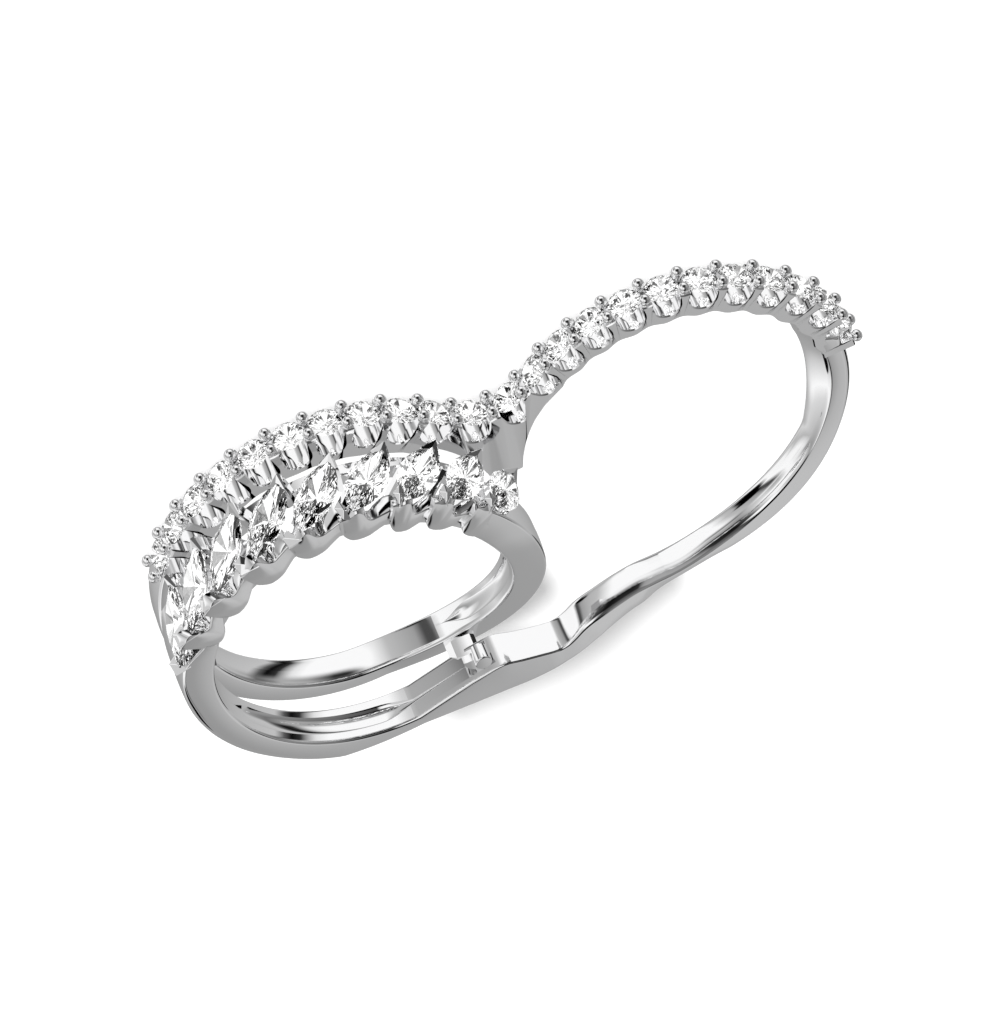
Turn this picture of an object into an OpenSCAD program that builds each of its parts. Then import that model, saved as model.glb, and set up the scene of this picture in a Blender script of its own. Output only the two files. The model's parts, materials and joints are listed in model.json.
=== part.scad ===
// Double ring for two neighbouring fingers, lying on its back.
// One band of white metal makes two loops: it starts at the right end of the marquise rail, passes over and
// round the first finger as the front shank, goes under the second finger, comes back over both fingers as the
// round-stone rail, and closes the first loop as the back shank, between the fingers.
// X runs from the first finger to the second, Y from the palm side to the stones, and Z along the fingers,
// from the resting face up to the front face.

/* [Fingers] */
// Inner diameter of both finger holes
finger_d = 17.3; // [17.1:0.1:17.5]
// Distance between the axes of the two finger holes
finger_pitch = 20.35; // [20.2:0.05:20.5]

/* [Round-stone row] */
// Number of round stones
round_count = 23; // [23]
// Girdle diameter of a round stone
round_d = 1.76; // [1.6:0.02:1.78]
// Radius of the girdle line over the first finger
left_row_r = 10.85; // [10.8:0.01:10.9]
// Radius of the girdle line over the second finger
right_row_r = 10.3; // [10.25:0.01:10.35]
// Radius of the valley between the two humps
valley_r = 3.5; // [3.3:0.1:3.7]
// Width of the rail along the fingers
rail_w = 1.9; // [1.8:0.05:2]
// Radius of the U cut under a round stone
u_cut_r = 0.78; // [0.7:0.01:0.8]
// Radius of a ball bead
bead_r = 0.34; // [0.28:0.01:0.35]

/* [Marquise row] */
// Number of marquise stones
marquise_count = 9; // [9]
// Length of a marquise stone
marquise_l = 4.9; // [4.6:0.1:5]
// Width of a marquise stone
marquise_w = 2.2; // [2:0.05:2.25]
// Radius of the girdle line of the marquise row
marquise_row_r = 10.9; // [10.8:0.05:11]
// Angle between a marquise stone and the finger axis
marquise_slant = 37.8; // [36:0.1:40]

/* [Shanks] */
// Height from the resting face to the front face
front_z = 7.4; // [7.3:0.1:7.5]
// Width of the front shank under the first finger
front_shank_w = 2.5; // [2.3:0.1:2.6]
// Width of the back shank under the first finger
back_shank_w = 2.1; // [2:0.05:2.2]
// Outer radius of the shank at the second finger
right_outer_r = 9.9; // [9.8:0.05:10]
// Distance by which the back shank stands behind the front face at the palm side
back_shank_drop = 4.3; // [4.2:0.1:4.4]

/* [Hidden] */
$fn = 96;
overlap = 0.02;
far = 40;
finger_r = finger_d / 2;
finger_2 = [finger_pitch, 0];

// Centres of the arcs of the round-stone row
left_c = [0.55, 0];
right_c = [finger_pitch + 0.2, 0];
// Angles at the first and last round stone
row_start = 149.2;
row_end = 8.9;

// The valley arc touches both row arcs from above: its centre lies at these distances from theirs
valley_d1 = left_row_r + valley_r;
valley_d2 = right_row_r + valley_r;
row_gap = right_c[0] - left_c[0];
valley_x = (valley_d1 * valley_d1 - valley_d2 * valley_d2 + row_gap * row_gap) / (2 * row_gap);
valley_c = left_c + [valley_x, sqrt(valley_d1 * valley_d1 - valley_x * valley_x)];
valley_a1 = atan2(valley_c[1] - left_c[1], valley_c[0] - left_c[0]);
valley_a2 = atan2(valley_c[1] - right_c[1], valley_c[0] - right_c[0]);

// Lengths of the row's three arcs, and the distance between two stones along them
function arc_length(r, degrees) = r * degrees * PI / 180;
function arc_degrees(r, length) = length / r * 180 / PI;
len_left = arc_length(left_row_r, row_start - valley_a1);
len_valley = arc_length(valley_r, 180 - valley_a2 + valley_a1);
len_right = arc_length(right_row_r, valley_a2 - row_end);
round_pitch = (len_left + len_valley + len_right) / (round_count - 1);

// Direction, in degrees, in which the row's table faces at a distance s from the first stone
function row_normal(s) =
    s < len_left ? row_start - arc_degrees(left_row_r, s)
    : s < len_left + len_valley ? valley_a1 + arc_degrees(valley_r, s - len_left)
    : valley_a2 - arc_degrees(right_row_r, s - len_left - len_valley);

// Point on the row's girdle line at s, moved outwards by off
function row_point(s, off) =
    let (a = row_normal(s), n = [cos(a), sin(a)])
    s < len_left ? left_c + (left_row_r + off) * n
    : s < len_left + len_valley ? valley_c - (valley_r - off) * n
    : right_c + (right_row_r + off) * n;

// The rail's top stands a little above the girdles, and the beads sit on it
rail_top = 0.12;
rail_end = 0.3;
bead_lift = 0.28;
bead_side = 0.6;

// Depth of a U cut's centre below the girdle, along the row. Columns: distance from the first stone, depth
CUT_DEPTH = [
    [0, 0.72], [3.6, 0.85], [7.4, 1], [11.2, 1], [15, 0.9], [20, 0.76], [23, 0.54], [28, 0.5], [50, 0.52],
];

// A round stone: depth of its point, height and radius share of its table, and the girdle's two edges
round_culet = 0.74;
round_table_z = 0.26;
round_table = 0.56;
round_girdle = [-0.03, 0.02];

// The seat under a round stone
seat_depth = 0.14;
seat_gap = 0.04;
seat_clear = 2;

// The rail's ends, and the number of straight steps that its top is drawn in
row_s0 = -round_pitch / 2 - rail_end;
row_s1 = (round_count - 0.5) * round_pitch + rail_end;
rail_steps = 92;

// Inner edges of the rail beside the valley, which lie outside the finger holes
valley_left_c = [0.95, 0];
valley_left_r = 8.8;
valley_right_c = [finger_pitch - 0.45, -0.3];
valley_right_r = 8.66;
valley_wall_x = [8.4, finger_pitch - 8.3];
valley_wall_y = 1.6;

// Marquise row: angle of the first stone, the step to the next, and the row's place
marquise_c = [0.25, 0];
marquise_a0 = 151;
marquise_step = 15.5;
marquise_z = front_z - 1.87;
function marquise_a(i) = marquise_a0 - i * marquise_step;

// A marquise stone: depth of its point, half the girdle, height and share of its table
marquise_culet = 1;
marquise_girdle = 0.04;
marquise_table_z = 0.36;
marquise_table = 0.58;
marquise_point = 0.05;
marquise_room = 0.05;

// The outline of a marquise stone is the overlap of two circles with this radius, this far off its long axis
marquise_arc_r = (marquise_l * marquise_l + marquise_w * marquise_w) / (4 * marquise_w);
marquise_arc_y = marquise_arc_r - marquise_w / 2;

// V prongs: distance from the stone's tip, thickness, length of an arm, and the radii they stand between
prong_gap = 0.04;
prong_t = 0.42;
prong_arm = 1.15;
prong_low = 9.1;
prong_top = 11.15;
prong_open = 2;

// Hoops in front of and behind the stones, the lobes on the front one, and the ribs between the hoops
hoop_margin = 14;
rail_out = 9.6;
front_rail_t = 0.85;
back_rail_t = 0.75;
back_rail_z = 2.9;
lobe_r = 1.45;
lobe_out = 10.1;
lobe_turn = 10;
rib_t = 0.5;
rib_back = 2.88;
rib_front = 1.85;
rib_in = 0.2;

// Outer circles of the shanks: the front shank stays inside both of its circles, the back shank fills both of its
front_outer_c = [-0.55, 0];
front_outer_r = 10;
front_palm_c = [-1.54, 13.87];
front_palm_r = 23.4;
back_left_c = [-0.7, 0.1];
back_left_r = 9.7;
back_right_c = [0.8, 0.3];
back_right_r = 9.9;
// Radius of the middle of the back shank's wall, the direction it drops along, and the turn it drops over
back_mid_r = 9.2;
back_turn = 32;
back_drop_turn = 115;
// Angles between which each shank runs round the first finger
front_ends = [152, 270];
back_ends = [150, 397];

// Depth of the front shank's front edge below the front face, along its way to the resting face. Columns: x, depth
FRONT_DRIFT = [
    [-100, 0], [8.3, 0], [9.8, 0.07], [11.3, 0.27], [12.8, 0.6], [14.3, 1.05], [15.8, 1.6], [17.3, 2.25],
    [18.8, 2.86], [20.3, 3.4], [21.8, 3.82], [23.3, 4.19], [24.8, 4.56], [26.3, 4.93], [27.5, 5.22], [28.5, 5.42],
    [29.4, 5.5], [100, 5.5],
];
right_drop = 5.5;
right_shank_w = 1.9;
right_start = -84;

// On its right side the second finger hole leans in towards the resting face: how far, the radius of that face
// and the angles between which it is built
right_lean = 1;
right_lean_r = 14;
right_lean_ends = [-60, 50];

// The front shank narrows to the width at the second finger from this x, over this length
narrow_x = 8;
narrow_l = 12;

// Outline of the front shank between the two finger holes: inner edge from left to right, with the flat bridge,
// then outer edge from right to left. Columns: x, y
BRIDGE = [
    [2, -7.9], [3.6, -7.75], [5, -7.35], [6.2, -7.13], [9.48, -7.93],
    [9.95, -7.83], [10.45, -7.57], [11, -7.24], [11.6, -7.04], [12.2, -6.94], [12.9, -6.9], [13.6, -6.93],
    [14.4, -6.97], [15.2, -7], [17, -6.9], [20.35, -7], [21.4, -8], [21.4, -9.84],
    [20.4, -9.76], [19.45, -9.5], [18.2, -9.1], [17, -8.7], [16.1, -8.52], [15.05, -8.43], [14, -8.39],
    [13.1, -8.41], [12.4, -8.51], [11.7, -8.66], [11, -8.86], [10.3, -9.05], [9.15, -9.28], [7.8, -9.46],
    [6.9, -9.47], [6, -9.44], [4.3, -9.43], [2, -9.3],
];

// Lower edge of the front shank's left part, which widens towards the marquise rail. Columns: y, z
FRONT_LEFT = [
    [-far, front_z - front_shank_w], [-3, front_z - front_shank_w], [-1, 4.5], [1.5, 3.4], [3.5, back_rail_z],
];

// Lower edge of the back shank's left part, as a share of its height at the palm side. Columns: y, share
BACK_LEFT = [[-far, 1], [-4, 1], [-2, 0.93], [0, 0.75], [2, 0.4], [4, 0.04], [5, 0], [far, 0]];

// Side view of the neck between the fingers. Columns: y, z
NECK = [[1.6, 0.2], [3, 0.2], [3.2, 1.9], [5, 4.6], [4.8, 5.4], [2.4, 5.4], [2, 4.4], [0.3, 2.1]];
neck_x = [9.2, 10.4];

// Smooth step from 0 to 1
function ease(t) = (1 - cos(180 * min(1, max(0, t)))) / 2;

// Height of the front shank's front and back edges at x
function front_drift(x) = lookup(x, FRONT_DRIFT) * (front_z - right_shank_w) / right_drop;
function front_top(x) = front_z - front_drift(x);
function front_low(x) =
    front_top(x) - front_shank_w + (front_shank_w - right_shank_w) * ease((x - narrow_x) / narrow_l);

// Depth of the back shank's front edge below the front face on its right half, at a distance u from the first
// finger's axis, measured along the direction back_turn
function back_drop(u) =
    let (turned = asin(max(-1, min(1, u / back_mid_r))) + 90 - back_turn)
    back_shank_drop * (1 - ease(turned / back_drop_turn));

// Grooves that lighten the inner faces: direction of each, depth, distance from the edges and half angle
groove_front = 230;
groove_back = 326;
groove_depth = 0.3;
groove_edge = 0.6;
groove_half = 32;
groove_off =
    (groove_depth * finger_r * 2 + groove_depth * groove_depth)
    / (2 * (finger_r * (1 - cos(groove_half)) + groove_depth));

// The lug of the back shank, its pin, and the round notch of the front shank that the pin stands in
lug_x = [4.1, 5.9];
lug_y = [-8.6, -7.6];
lug_z = [3.3, 5.3];
pin_r = 0.45;
pin_c = [5.15, -7.75];
pin_top = 6.5;
pin_root = 0.5;
notch_r = 0.95;
notch_z = [5.25, 6.85];

// The box round the whole ring, so that the origin lies under its middle
x_low = front_outer_c[0] - front_outer_r;
x_high = max([for (i = [0:round_count]) row_point((i - 0.5) * round_pitch, bead_lift)[0]]) + bead_r;
y_low = right_outer_r * sin(right_start);
y_high = max([for (i = [0:round_count]) row_point((i - 0.5) * round_pitch, bead_lift)[1]]) + bead_r;
middle = [(x_low + x_high) / 2, (y_low + y_high) / 2];

// Two digits, so that the stones list in order
function two_digits(n) = n < 10 ? str("0", n) : str(n);
function round_name(i) = str("round_stone_", two_digits(i + 1));
function marquise_name(i) = str("marquise_stone_", i + 1);

// Moves a shape from the first finger's axis to the part's own origin
module placed() {
    translate([-middle[0], -middle[1], 0]) children();
}

// Puts a shape that is built round +Z at a round stone's place, with +Z facing out of the row
module at_round(s) {
    p = row_point(s, 0);
    translate([p[0], p[1], rail_w / 2]) rotate([0, 0, row_normal(s)]) rotate([0, 90, 0]) children();
}

// Puts a shape that is built round +Z, long in X, at a marquise stone's place
module at_marquise(i) {
    a = marquise_a(i);
    translate([marquise_c[0], marquise_c[1], marquise_z])
        rotate([0, 0, a]) translate([marquise_row_r, 0, 0]) rotate([0, 90, 0])
            rotate([0, 0, 180 - marquise_slant]) children();
}

// A wedge of the plane between two angles
module sector(a0, a1) {
    sides = 12;
    ends = [for (k = [0:sides]) let (a = a0 + (a1 - a0) * k / sides) far * [cos(a), sin(a)]];
    polygon(concat([[0, 0]], ends));
}

// A stadium: the U cut that crosses the rail under a round stone
module u_cut(s) {
    depth = lookup(s, CUT_DEPTH);
    translate(row_point(s, 0)) rotate(row_normal(s) - 90) {
        translate([0, -depth]) circle(u_cut_r);
        translate([-u_cut_r, -depth]) square([2 * u_cut_r, depth + seat_clear]);
    }
}

// The round-stone rail with the valley wall, as an outline in X and Y
module rail_outline() {
    difference() {
        polygon(concat(
            [for (k = [0:rail_steps]) row_point(row_s0 + (row_s1 - row_s0) * k / rail_steps, rail_top)],
            [finger_2, [valley_wall_x[1], valley_wall_y], [valley_wall_x[0], valley_wall_y], [0, 0]]
        ));
        for (i = [0:round_count - 1]) u_cut(i * round_pitch);
        translate(valley_left_c) circle(valley_left_r);
        translate(valley_right_c) circle(valley_right_r);
    }
}

// The round seat that a stone's girdle sits in
module round_seat(s) {
    at_round(s) translate([0, 0, -seat_depth]) cylinder(r = round_d / 2 + seat_gap, h = seat_clear);
}

module round_rail() {
    difference() {
        linear_extrude(rail_w) rail_outline();
        for (i = [0:round_count - 1]) round_seat(i * round_pitch);
    }
}

// Room for a marquise stone
module marquise_seat(i) {
    at_marquise(i) translate([0, 0, -marquise_culet - marquise_room]) linear_extrude(marquise_culet + seat_clear)
        intersection() {
            translate([0, marquise_arc_y]) circle(marquise_arc_r + marquise_room);
            translate([0, -marquise_arc_y]) circle(marquise_arc_r + marquise_room);
        }
}

// Room for the stones at the ends of both rows, where the shanks and the neck run on under them
module end_seats() {
    for (i = [0, marquise_count - 2, marquise_count - 1]) marquise_seat(i);
    for (s = [0, (round_count - 1) * round_pitch]) {
        round_seat(s);
        translate([0, 0, -overlap]) linear_extrude(rail_w + seat_clear / 2) u_cut(s);
    }
}

// Two ball beads on the post between neighbouring stones
module beads() {
    for (i = [0:round_count], side = [-1, 1]) {
        p = row_point((i - 0.5) * round_pitch, bead_lift);
        translate([p[0], p[1], rail_w / 2 + side * bead_side]) sphere(bead_r);
    }
}

// One V prong: a chevron that holds a stone's tip, at +X of the stone
module v_prong() {
    half_angle = 2 * atan2(marquise_w, marquise_l) + prong_open;
    arm = prong_arm * [-cos(half_angle), sin(half_angle)];
    inner = arm - prong_t * [sin(half_angle), cos(half_angle)];
    corner = prong_t / sin(half_angle);
    translate([marquise_l / 2 + corner + prong_gap, 0, prong_low - marquise_row_r])
        linear_extrude(prong_top - prong_low)
            polygon([[0, 0], arm, inner, [-corner, 0], [inner[0], -inner[1]], [arm[0], -arm[1]]]);
}

// A flat ring sector, as an outline
module hoop_outline(r0, r1, a0, a1) {
    intersection() {
        difference() {
            circle(r1);
            circle(r0);
        }
        sector(a0, a1);
    }
}

// The marquise rail: a front hoop with lobes, a back hoop, slanted ribs between them and V prongs
module marquise_rail() {
    first = marquise_a(0) + hoop_margin;
    last = marquise_a(marquise_count - 1) - hoop_margin;
    translate([0, 0, front_z - front_rail_t]) linear_extrude(front_rail_t) {
        hoop_outline(finger_r - overlap, rail_out, last, first);
        for (i = [0:marquise_count - 1])
            rotate(marquise_a(i) + lobe_turn) translate([lobe_out - lobe_r, 0]) circle(lobe_r);
    }
    translate([0, 0, back_rail_z]) linear_extrude(back_rail_t)
        hoop_outline(finger_r - overlap, rail_out, last, first);
    for (i = [0:marquise_count - 1]) at_marquise(i) for (turn = [0, 180]) rotate([0, 0, turn]) v_prong();
    for (i = [0:marquise_count])
        translate([0, 0, marquise_z]) rotate([0, 0, marquise_a(i) + marquise_step / 2])
            rotate([-marquise_slant, 0, 0]) translate([finger_r - rib_in, -rib_t / 2, -rib_back])
                cube([rail_out - finger_r + rib_in, rib_t, rib_back + rib_front]);
}

// The front shank, in X and Y
module front_outline() {
    intersection() {
        translate(front_outer_c) circle(front_outer_r);
        translate(front_palm_c) circle(front_palm_r);
        union() {
            sector(front_ends[0], front_ends[1]);
            translate([-overlap, -far]) square([BRIDGE[0][0] + 2 * overlap, far]);
        }
    }
    polygon(BRIDGE);
    translate(finger_2) intersection() {
        circle(right_outer_r);
        sector(right_start, row_end);
    }
}

// Limits the front shank's height: a sheet along Y that drifts towards the resting face as x grows
module front_sheet() {
    xs = [for (p = FRONT_DRIFT) p[0]];
    rotate([90, 0, 0]) translate([0, 0, -far]) linear_extrude(2 * far)
        polygon(concat([for (x = xs) [x, front_top(x)]], [for (k = [len(xs) - 1:-1:0]) [xs[k], front_low(xs[k])]]));
}

// Limits the height of the front shank's left part
module front_left_sheet() {
    rotate([90, 0, -90]) translate([0, 0, -far]) linear_extrude(2 * far)
        polygon(concat([for (p = FRONT_LEFT) [-p[0], p[1]]], [[-far, back_rail_z], [-far, front_z], [far, front_z]]));
}

module front_shank() {
    intersection() {
        linear_extrude(front_z) front_outline();
        union() {
            front_sheet();
            intersection() {
                front_left_sheet();
                translate([-far, -far, 0]) cube([far, 2 * far, front_z]);
            }
        }
    }
}

// The back shank, in X and Y
module back_outline() {
    intersection() {
        sector(back_ends[0], back_ends[1]);
        union() {
            translate(back_left_c) circle(back_left_r);
            translate(back_right_c) circle(back_right_r);
        }
    }
}

// Limits the back shank's height on the right, with a margin inside its edges
module back_right_sheet(margin) {
    steps = 24;
    us = concat([-far], [for (k = [0:steps]) back_mid_r * sin(back_turn - 90 + back_drop_turn * k / steps)], [far]);
    wide = front_shank_w - back_shank_w;
    rotate([0, 0, -back_turn]) rotate([90, 0, 90]) translate([0, 0, -far]) linear_extrude(2 * far)
        polygon(concat(
            [for (u = us) [u, front_z - back_drop(u) - margin]],
            [for (k = [len(us) - 1:-1:0])
                let (d = back_drop(us[k]))
                [us[k], front_z - d - back_shank_w - wide * (1 - d / back_shank_drop) + margin]]
        ));
}

// Limits the back shank's height on the left, where it drifts to the resting face
module back_left_sheet() {
    low = front_z - back_shank_drop - back_shank_w;
    edge = [for (p = BACK_LEFT) [p[0], low * p[1]]];
    rotate([90, 0, 90]) translate([0, 0, -far]) linear_extrude(far + overlap)
        polygon(concat(edge, [for (k = [len(edge) - 1:-1:0]) edge[k] + [0, back_shank_w]]));
}

module back_shank() {
    intersection() {
        linear_extrude(front_z) back_outline();
        union() {
            back_left_sheet();
            intersection() {
                back_right_sheet(0);
                translate([0, -far, -far]) cube([far, 2 * far, 2 * far]);
            }
        }
    }
}

// Joins the valley wall to the back shank between the fingers
module neck() {
    translate([neck_x[0], 0, 0]) rotate([90, 0, 90]) linear_extrude(neck_x[1] - neck_x[0]) polygon(NECK);
}

module lug_and_pin() {
    translate([lug_x[0], lug_y[0], lug_z[0]])
        cube([lug_x[1] - lug_x[0], lug_y[1] - lug_y[0], lug_z[1] - lug_z[0]]);
    translate([pin_c[0], pin_c[1], lug_z[1] - pin_root]) cylinder(r = pin_r, h = pin_top - lug_z[1] + pin_root);
}

module notch() {
    translate([pin_c[0], pin_c[1], notch_z[0]]) cylinder(r = notch_r, h = notch_z[1] - notch_z[0]);
}

module groove(angle) {
    translate([groove_off * cos(angle), groove_off * sin(angle), 0])
        cylinder(r = finger_r + groove_depth - groove_off, h = front_z);
}

module grooves() {
    intersection() {
        groove(groove_front);
        translate([-far, -far, front_z - front_shank_w + groove_edge])
            cube([2 * far, 2 * far, front_shank_w - 2 * groove_edge]);
    }
    intersection() {
        groove(groove_back);
        back_right_sheet(groove_edge);
    }
}

// The leaning inner face of the second finger hole
module lean_pad() {
    front = front_z - right_drop;
    translate(finger_2) difference() {
        linear_extrude(front)
            hoop_outline(finger_r - 2 * right_lean, finger_r + overlap, right_lean_ends[0], right_lean_ends[1]);
        translate([finger_r - right_lean_r, 0, front]) rotate([0, atan(right_lean / front), 0])
            translate([0, 0, -far]) cylinder(r = right_lean_r, h = 2 * far);
    }
}

// The whole metal body
module ring_body() {
    color([0.82, 0.82, 0.84]) placed() union() {
        lean_pad();
        difference() {
            union() {
                round_rail();
                beads();
                marquise_rail();
                difference() {
                    union() {
                        front_shank();
                        back_shank();
                        neck();
                    }
                    notch();
                    end_seats();
                }
                lug_and_pin();
            }
            for (axis = [[0, 0], finger_2]) translate([axis[0], axis[1], -1]) cylinder(r = finger_r, h = front_z + 3);
            grooves();
        }
    }
}

// A round brilliant: table, girdle and point, by turning an outline
module round_stone(i) {
    r = round_d / 2;
    color([0.93, 0.95, 0.97]) placed() at_round(i * round_pitch)
        rotate_extrude() polygon([
            [0, -round_culet], [r, round_girdle[0]], [r, round_girdle[1]],
            [r * round_table, round_table_z], [0, round_table_z],
        ]);
}

// A marquise: its pointed outline at a height z, at a share k of its full size
function marquise_ring(k, z) =
    let (a = asin(marquise_l / 2 / marquise_arc_r))
    concat(
        [for (t = [0:7]) let (b = a - a * t / 4)
            k * [marquise_arc_r * sin(b), marquise_arc_r * cos(b) - marquise_arc_y, z / k]],
        [for (t = [0:7]) let (b = -a + a * t / 4)
            k * [marquise_arc_r * sin(b), marquise_arc_y - marquise_arc_r * cos(b), z / k]]
    );

module marquise_stone(i) {
    n = 16;
    points = concat(
        marquise_ring(marquise_point, -marquise_culet), marquise_ring(1, -marquise_girdle),
        marquise_ring(1, marquise_girdle), marquise_ring(marquise_table, marquise_table_z)
    );
    sides = [for (ring = [0:2], k = [0:n - 1])
        let (a = ring * n + k, b = ring * n + (k + 1) % n)
        [a, a + n, b + n, b]];
    color([0.93, 0.95, 0.97]) placed() at_marquise(i)
        polyhedron(points, concat(sides, [[for (k = [0:n - 1]) k]], [[for (k = [n - 1:-1:0]) 3 * n + k]]));
}

ring_body();
for (i = [0:round_count - 1]) round_stone(i);
for (i = [0:marquise_count - 1]) marquise_stone(i);
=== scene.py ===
"""Looks of a double ring for two fingers: polished white metal, round and marquise diamonds, studio light.

Lengths in this script are millimetres and angles are degrees. Places are in the first finger's own axes:
X to the second finger, Y to the stones, Z along the fingers. They become metres in the frame's axes only
when a mesh is made.
"""
import json
import logging
import math
from collections.abc import Sequence
from dataclasses import dataclass
from enum import Enum

import bmesh
import bpy
import numpy as np
from mathutils import Matrix, Vector


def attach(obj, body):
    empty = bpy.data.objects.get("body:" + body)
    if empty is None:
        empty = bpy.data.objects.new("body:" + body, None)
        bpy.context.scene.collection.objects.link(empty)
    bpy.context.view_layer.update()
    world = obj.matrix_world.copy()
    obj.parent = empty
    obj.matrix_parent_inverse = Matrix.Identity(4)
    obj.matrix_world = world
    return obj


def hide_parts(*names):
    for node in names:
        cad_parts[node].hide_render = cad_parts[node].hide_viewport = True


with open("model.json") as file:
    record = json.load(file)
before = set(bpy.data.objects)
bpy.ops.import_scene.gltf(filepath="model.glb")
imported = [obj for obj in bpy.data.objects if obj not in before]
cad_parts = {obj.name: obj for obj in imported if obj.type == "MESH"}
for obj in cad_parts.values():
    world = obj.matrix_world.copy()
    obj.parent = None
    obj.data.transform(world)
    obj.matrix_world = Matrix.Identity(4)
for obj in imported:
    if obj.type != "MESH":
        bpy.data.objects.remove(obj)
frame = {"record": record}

log = logging.getLogger("double_ring")

MM = 0.001
WELD = 0.002
TINY = 1e-9
SCREEN_POWER = 2.2
BODY = "root"
METAL_SLOT = "white_gold"
METAL_NODE = "ring_body"
STONE_SLOT = "diamond"


def mount_place(name: str) -> np.ndarray:
    """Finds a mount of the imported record.

    Args:
        name: the mount's name.

    Returns:
        Its place in the frame's axes, in millimetres.
    """
    mounts = {m["name"]: m for m in frame["record"]["mounts"]}
    return np.array(mounts[name]["pos_m"]) / MM


FIRST_AXIS = mount_place("finger_hole_1") * (1, 1, 0)
PITCH = float(mount_place("finger_hole_2")[0] - FIRST_AXIS[0])
FINGER_R = 8.65
FRONT_Z = 7.4


def polar(radius: float, degrees: float, centre: Sequence[float] = (0.0, 0.0)) -> np.ndarray:
    """Gives the point at a radius and an angle about a centre, in X and Y."""
    a = math.radians(degrees)
    return np.array([centre[0] + radius * math.cos(a), centre[1] + radius * math.sin(a)])


def ease(t: float) -> float:
    """Smooth step from 0 to 1."""
    t = min(1.0, max(0.0, t))
    return t * t * (3 - 2 * t)


def fade(at: float, start: float, end: float) -> float:
    """Smooth step from 0 at the start to 1 at the end, either of which may be the larger."""
    return ease((at - start) / (end - start))


def reach(centre: Sequence[float], radius: float, degrees: float) -> float:
    """Distance from the first finger's axis to a circle, along the ray at an angle."""
    ray = polar(1.0, degrees)
    along = float(np.dot(centre, ray))
    return along + math.sqrt(radius * radius - float(np.dot(centre, centre)) + along * along)


def spline(knots: Sequence[float], values: Sequence, at: float | Sequence[float]) -> np.ndarray:
    """Interpolates with a smooth cubic curve through the knots.

    Args:
        knots: increasing places.
        values: a number or a vector at each of them.
        at: the place or places to evaluate.

    Returns:
        The interpolated values, one row each.
    """
    x = np.asarray(knots, float)
    y = np.asarray(values, float).reshape(len(x), -1)
    h = np.diff(x)[:, None]
    slope = np.diff(y, axis=0) / h
    tangent = np.empty_like(y)
    tangent[0], tangent[-1] = slope[0], slope[-1]
    tangent[1:-1] = (slope[:-1] * h[1:] + slope[1:] * h[:-1]) / (h[1:] + h[:-1])
    at = np.atleast_1d(np.asarray(at, float))
    k = np.clip(np.searchsorted(x, at, side="right") - 1, 0, len(x) - 2)
    t = ((at - x[k]) / h[k, 0])[:, None]
    a, b = t * t * (3 - 2 * t), t * (1 - t)
    return y[k] * (1 - a) + y[k + 1] * a + h[k] * b * (tangent[k] * (1 - t) - tangent[k + 1] * t)


def curve(table: Sequence[tuple[float, float]], at: float) -> float:
    """Gives the value at a place on the smooth curve through a table of places and values."""
    return float(spline([place for place, _ in table], [value for _, value in table], at)[0, 0])


class MeshPlan:
    """Collects the points and faces of one piece, in millimetres."""

    def __init__(self) -> None:
        """Starts with no points."""
        self.points: list[np.ndarray] = []
        self.faces: list[tuple[int, ...]] = []

    def add(self, points: Sequence) -> list[int]:
        """Adds points and returns their numbers."""
        start = len(self.points)
        self.points.extend(np.asarray(p, float) for p in points)
        return list(range(start, len(self.points)))

    def face(self, *numbers: int) -> None:
        """Adds one face, unless two of its corners are the same."""
        if len(set(numbers)) == len(numbers):
            self.faces.append(tuple(numbers))

    def loft(self, rings: Sequence, closed: bool = True, caps: bool = True) -> None:
        """Joins rings of points with strips of faces.

        Args:
            rings: an array of rings, each with the same number of points.
            closed: whether each ring runs back to its first point.
            caps: whether the first and last ring are filled.
        """
        numbers = [self.add(ring) for ring in rings]
        count = len(numbers[0])
        for low, high in zip(numbers, numbers[1:]):
            for k in range(count if closed else count - 1):
                n = (k + 1) % count
                self.face(low[k], low[n], high[n], high[k])
        if caps:
            self.face(*reversed(numbers[0]))
            self.face(*numbers[-1])

    def mesh(self, name: str, sharp: float | None, placed: bool = True) -> bpy.types.Mesh:
        """Makes the Blender mesh.

        Args:
            name: the mesh's name.
            sharp: edges that bend by more degrees than this are crisp, and None makes all faces flat.
            placed: whether the points move into the frame's axes.

        Returns:
            The mesh, in metres.
        """
        shift = FIRST_AXIS if placed else np.zeros(3)
        mesh = bpy.data.meshes.new(name)
        mesh.from_pydata([tuple((p + shift) * MM) for p in self.points], [], self.faces)
        mesh.validate()
        make_outward(mesh)
        if sharp is None:
            mesh.shade_flat()
        else:
            mesh.shade_smooth()
            mesh.set_sharp_from_angle(angle=math.radians(sharp))
        return mesh


def make_outward(mesh: bpy.types.Mesh) -> None:
    """Welds a mesh and turns its faces outward."""
    work = bmesh.new()
    work.from_mesh(mesh)
    bmesh.ops.remove_doubles(work, verts=work.verts, dist=WELD * MM)
    bmesh.ops.recalc_face_normals(work, faces=work.faces)
    work.to_mesh(mesh)
    work.free()


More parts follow.
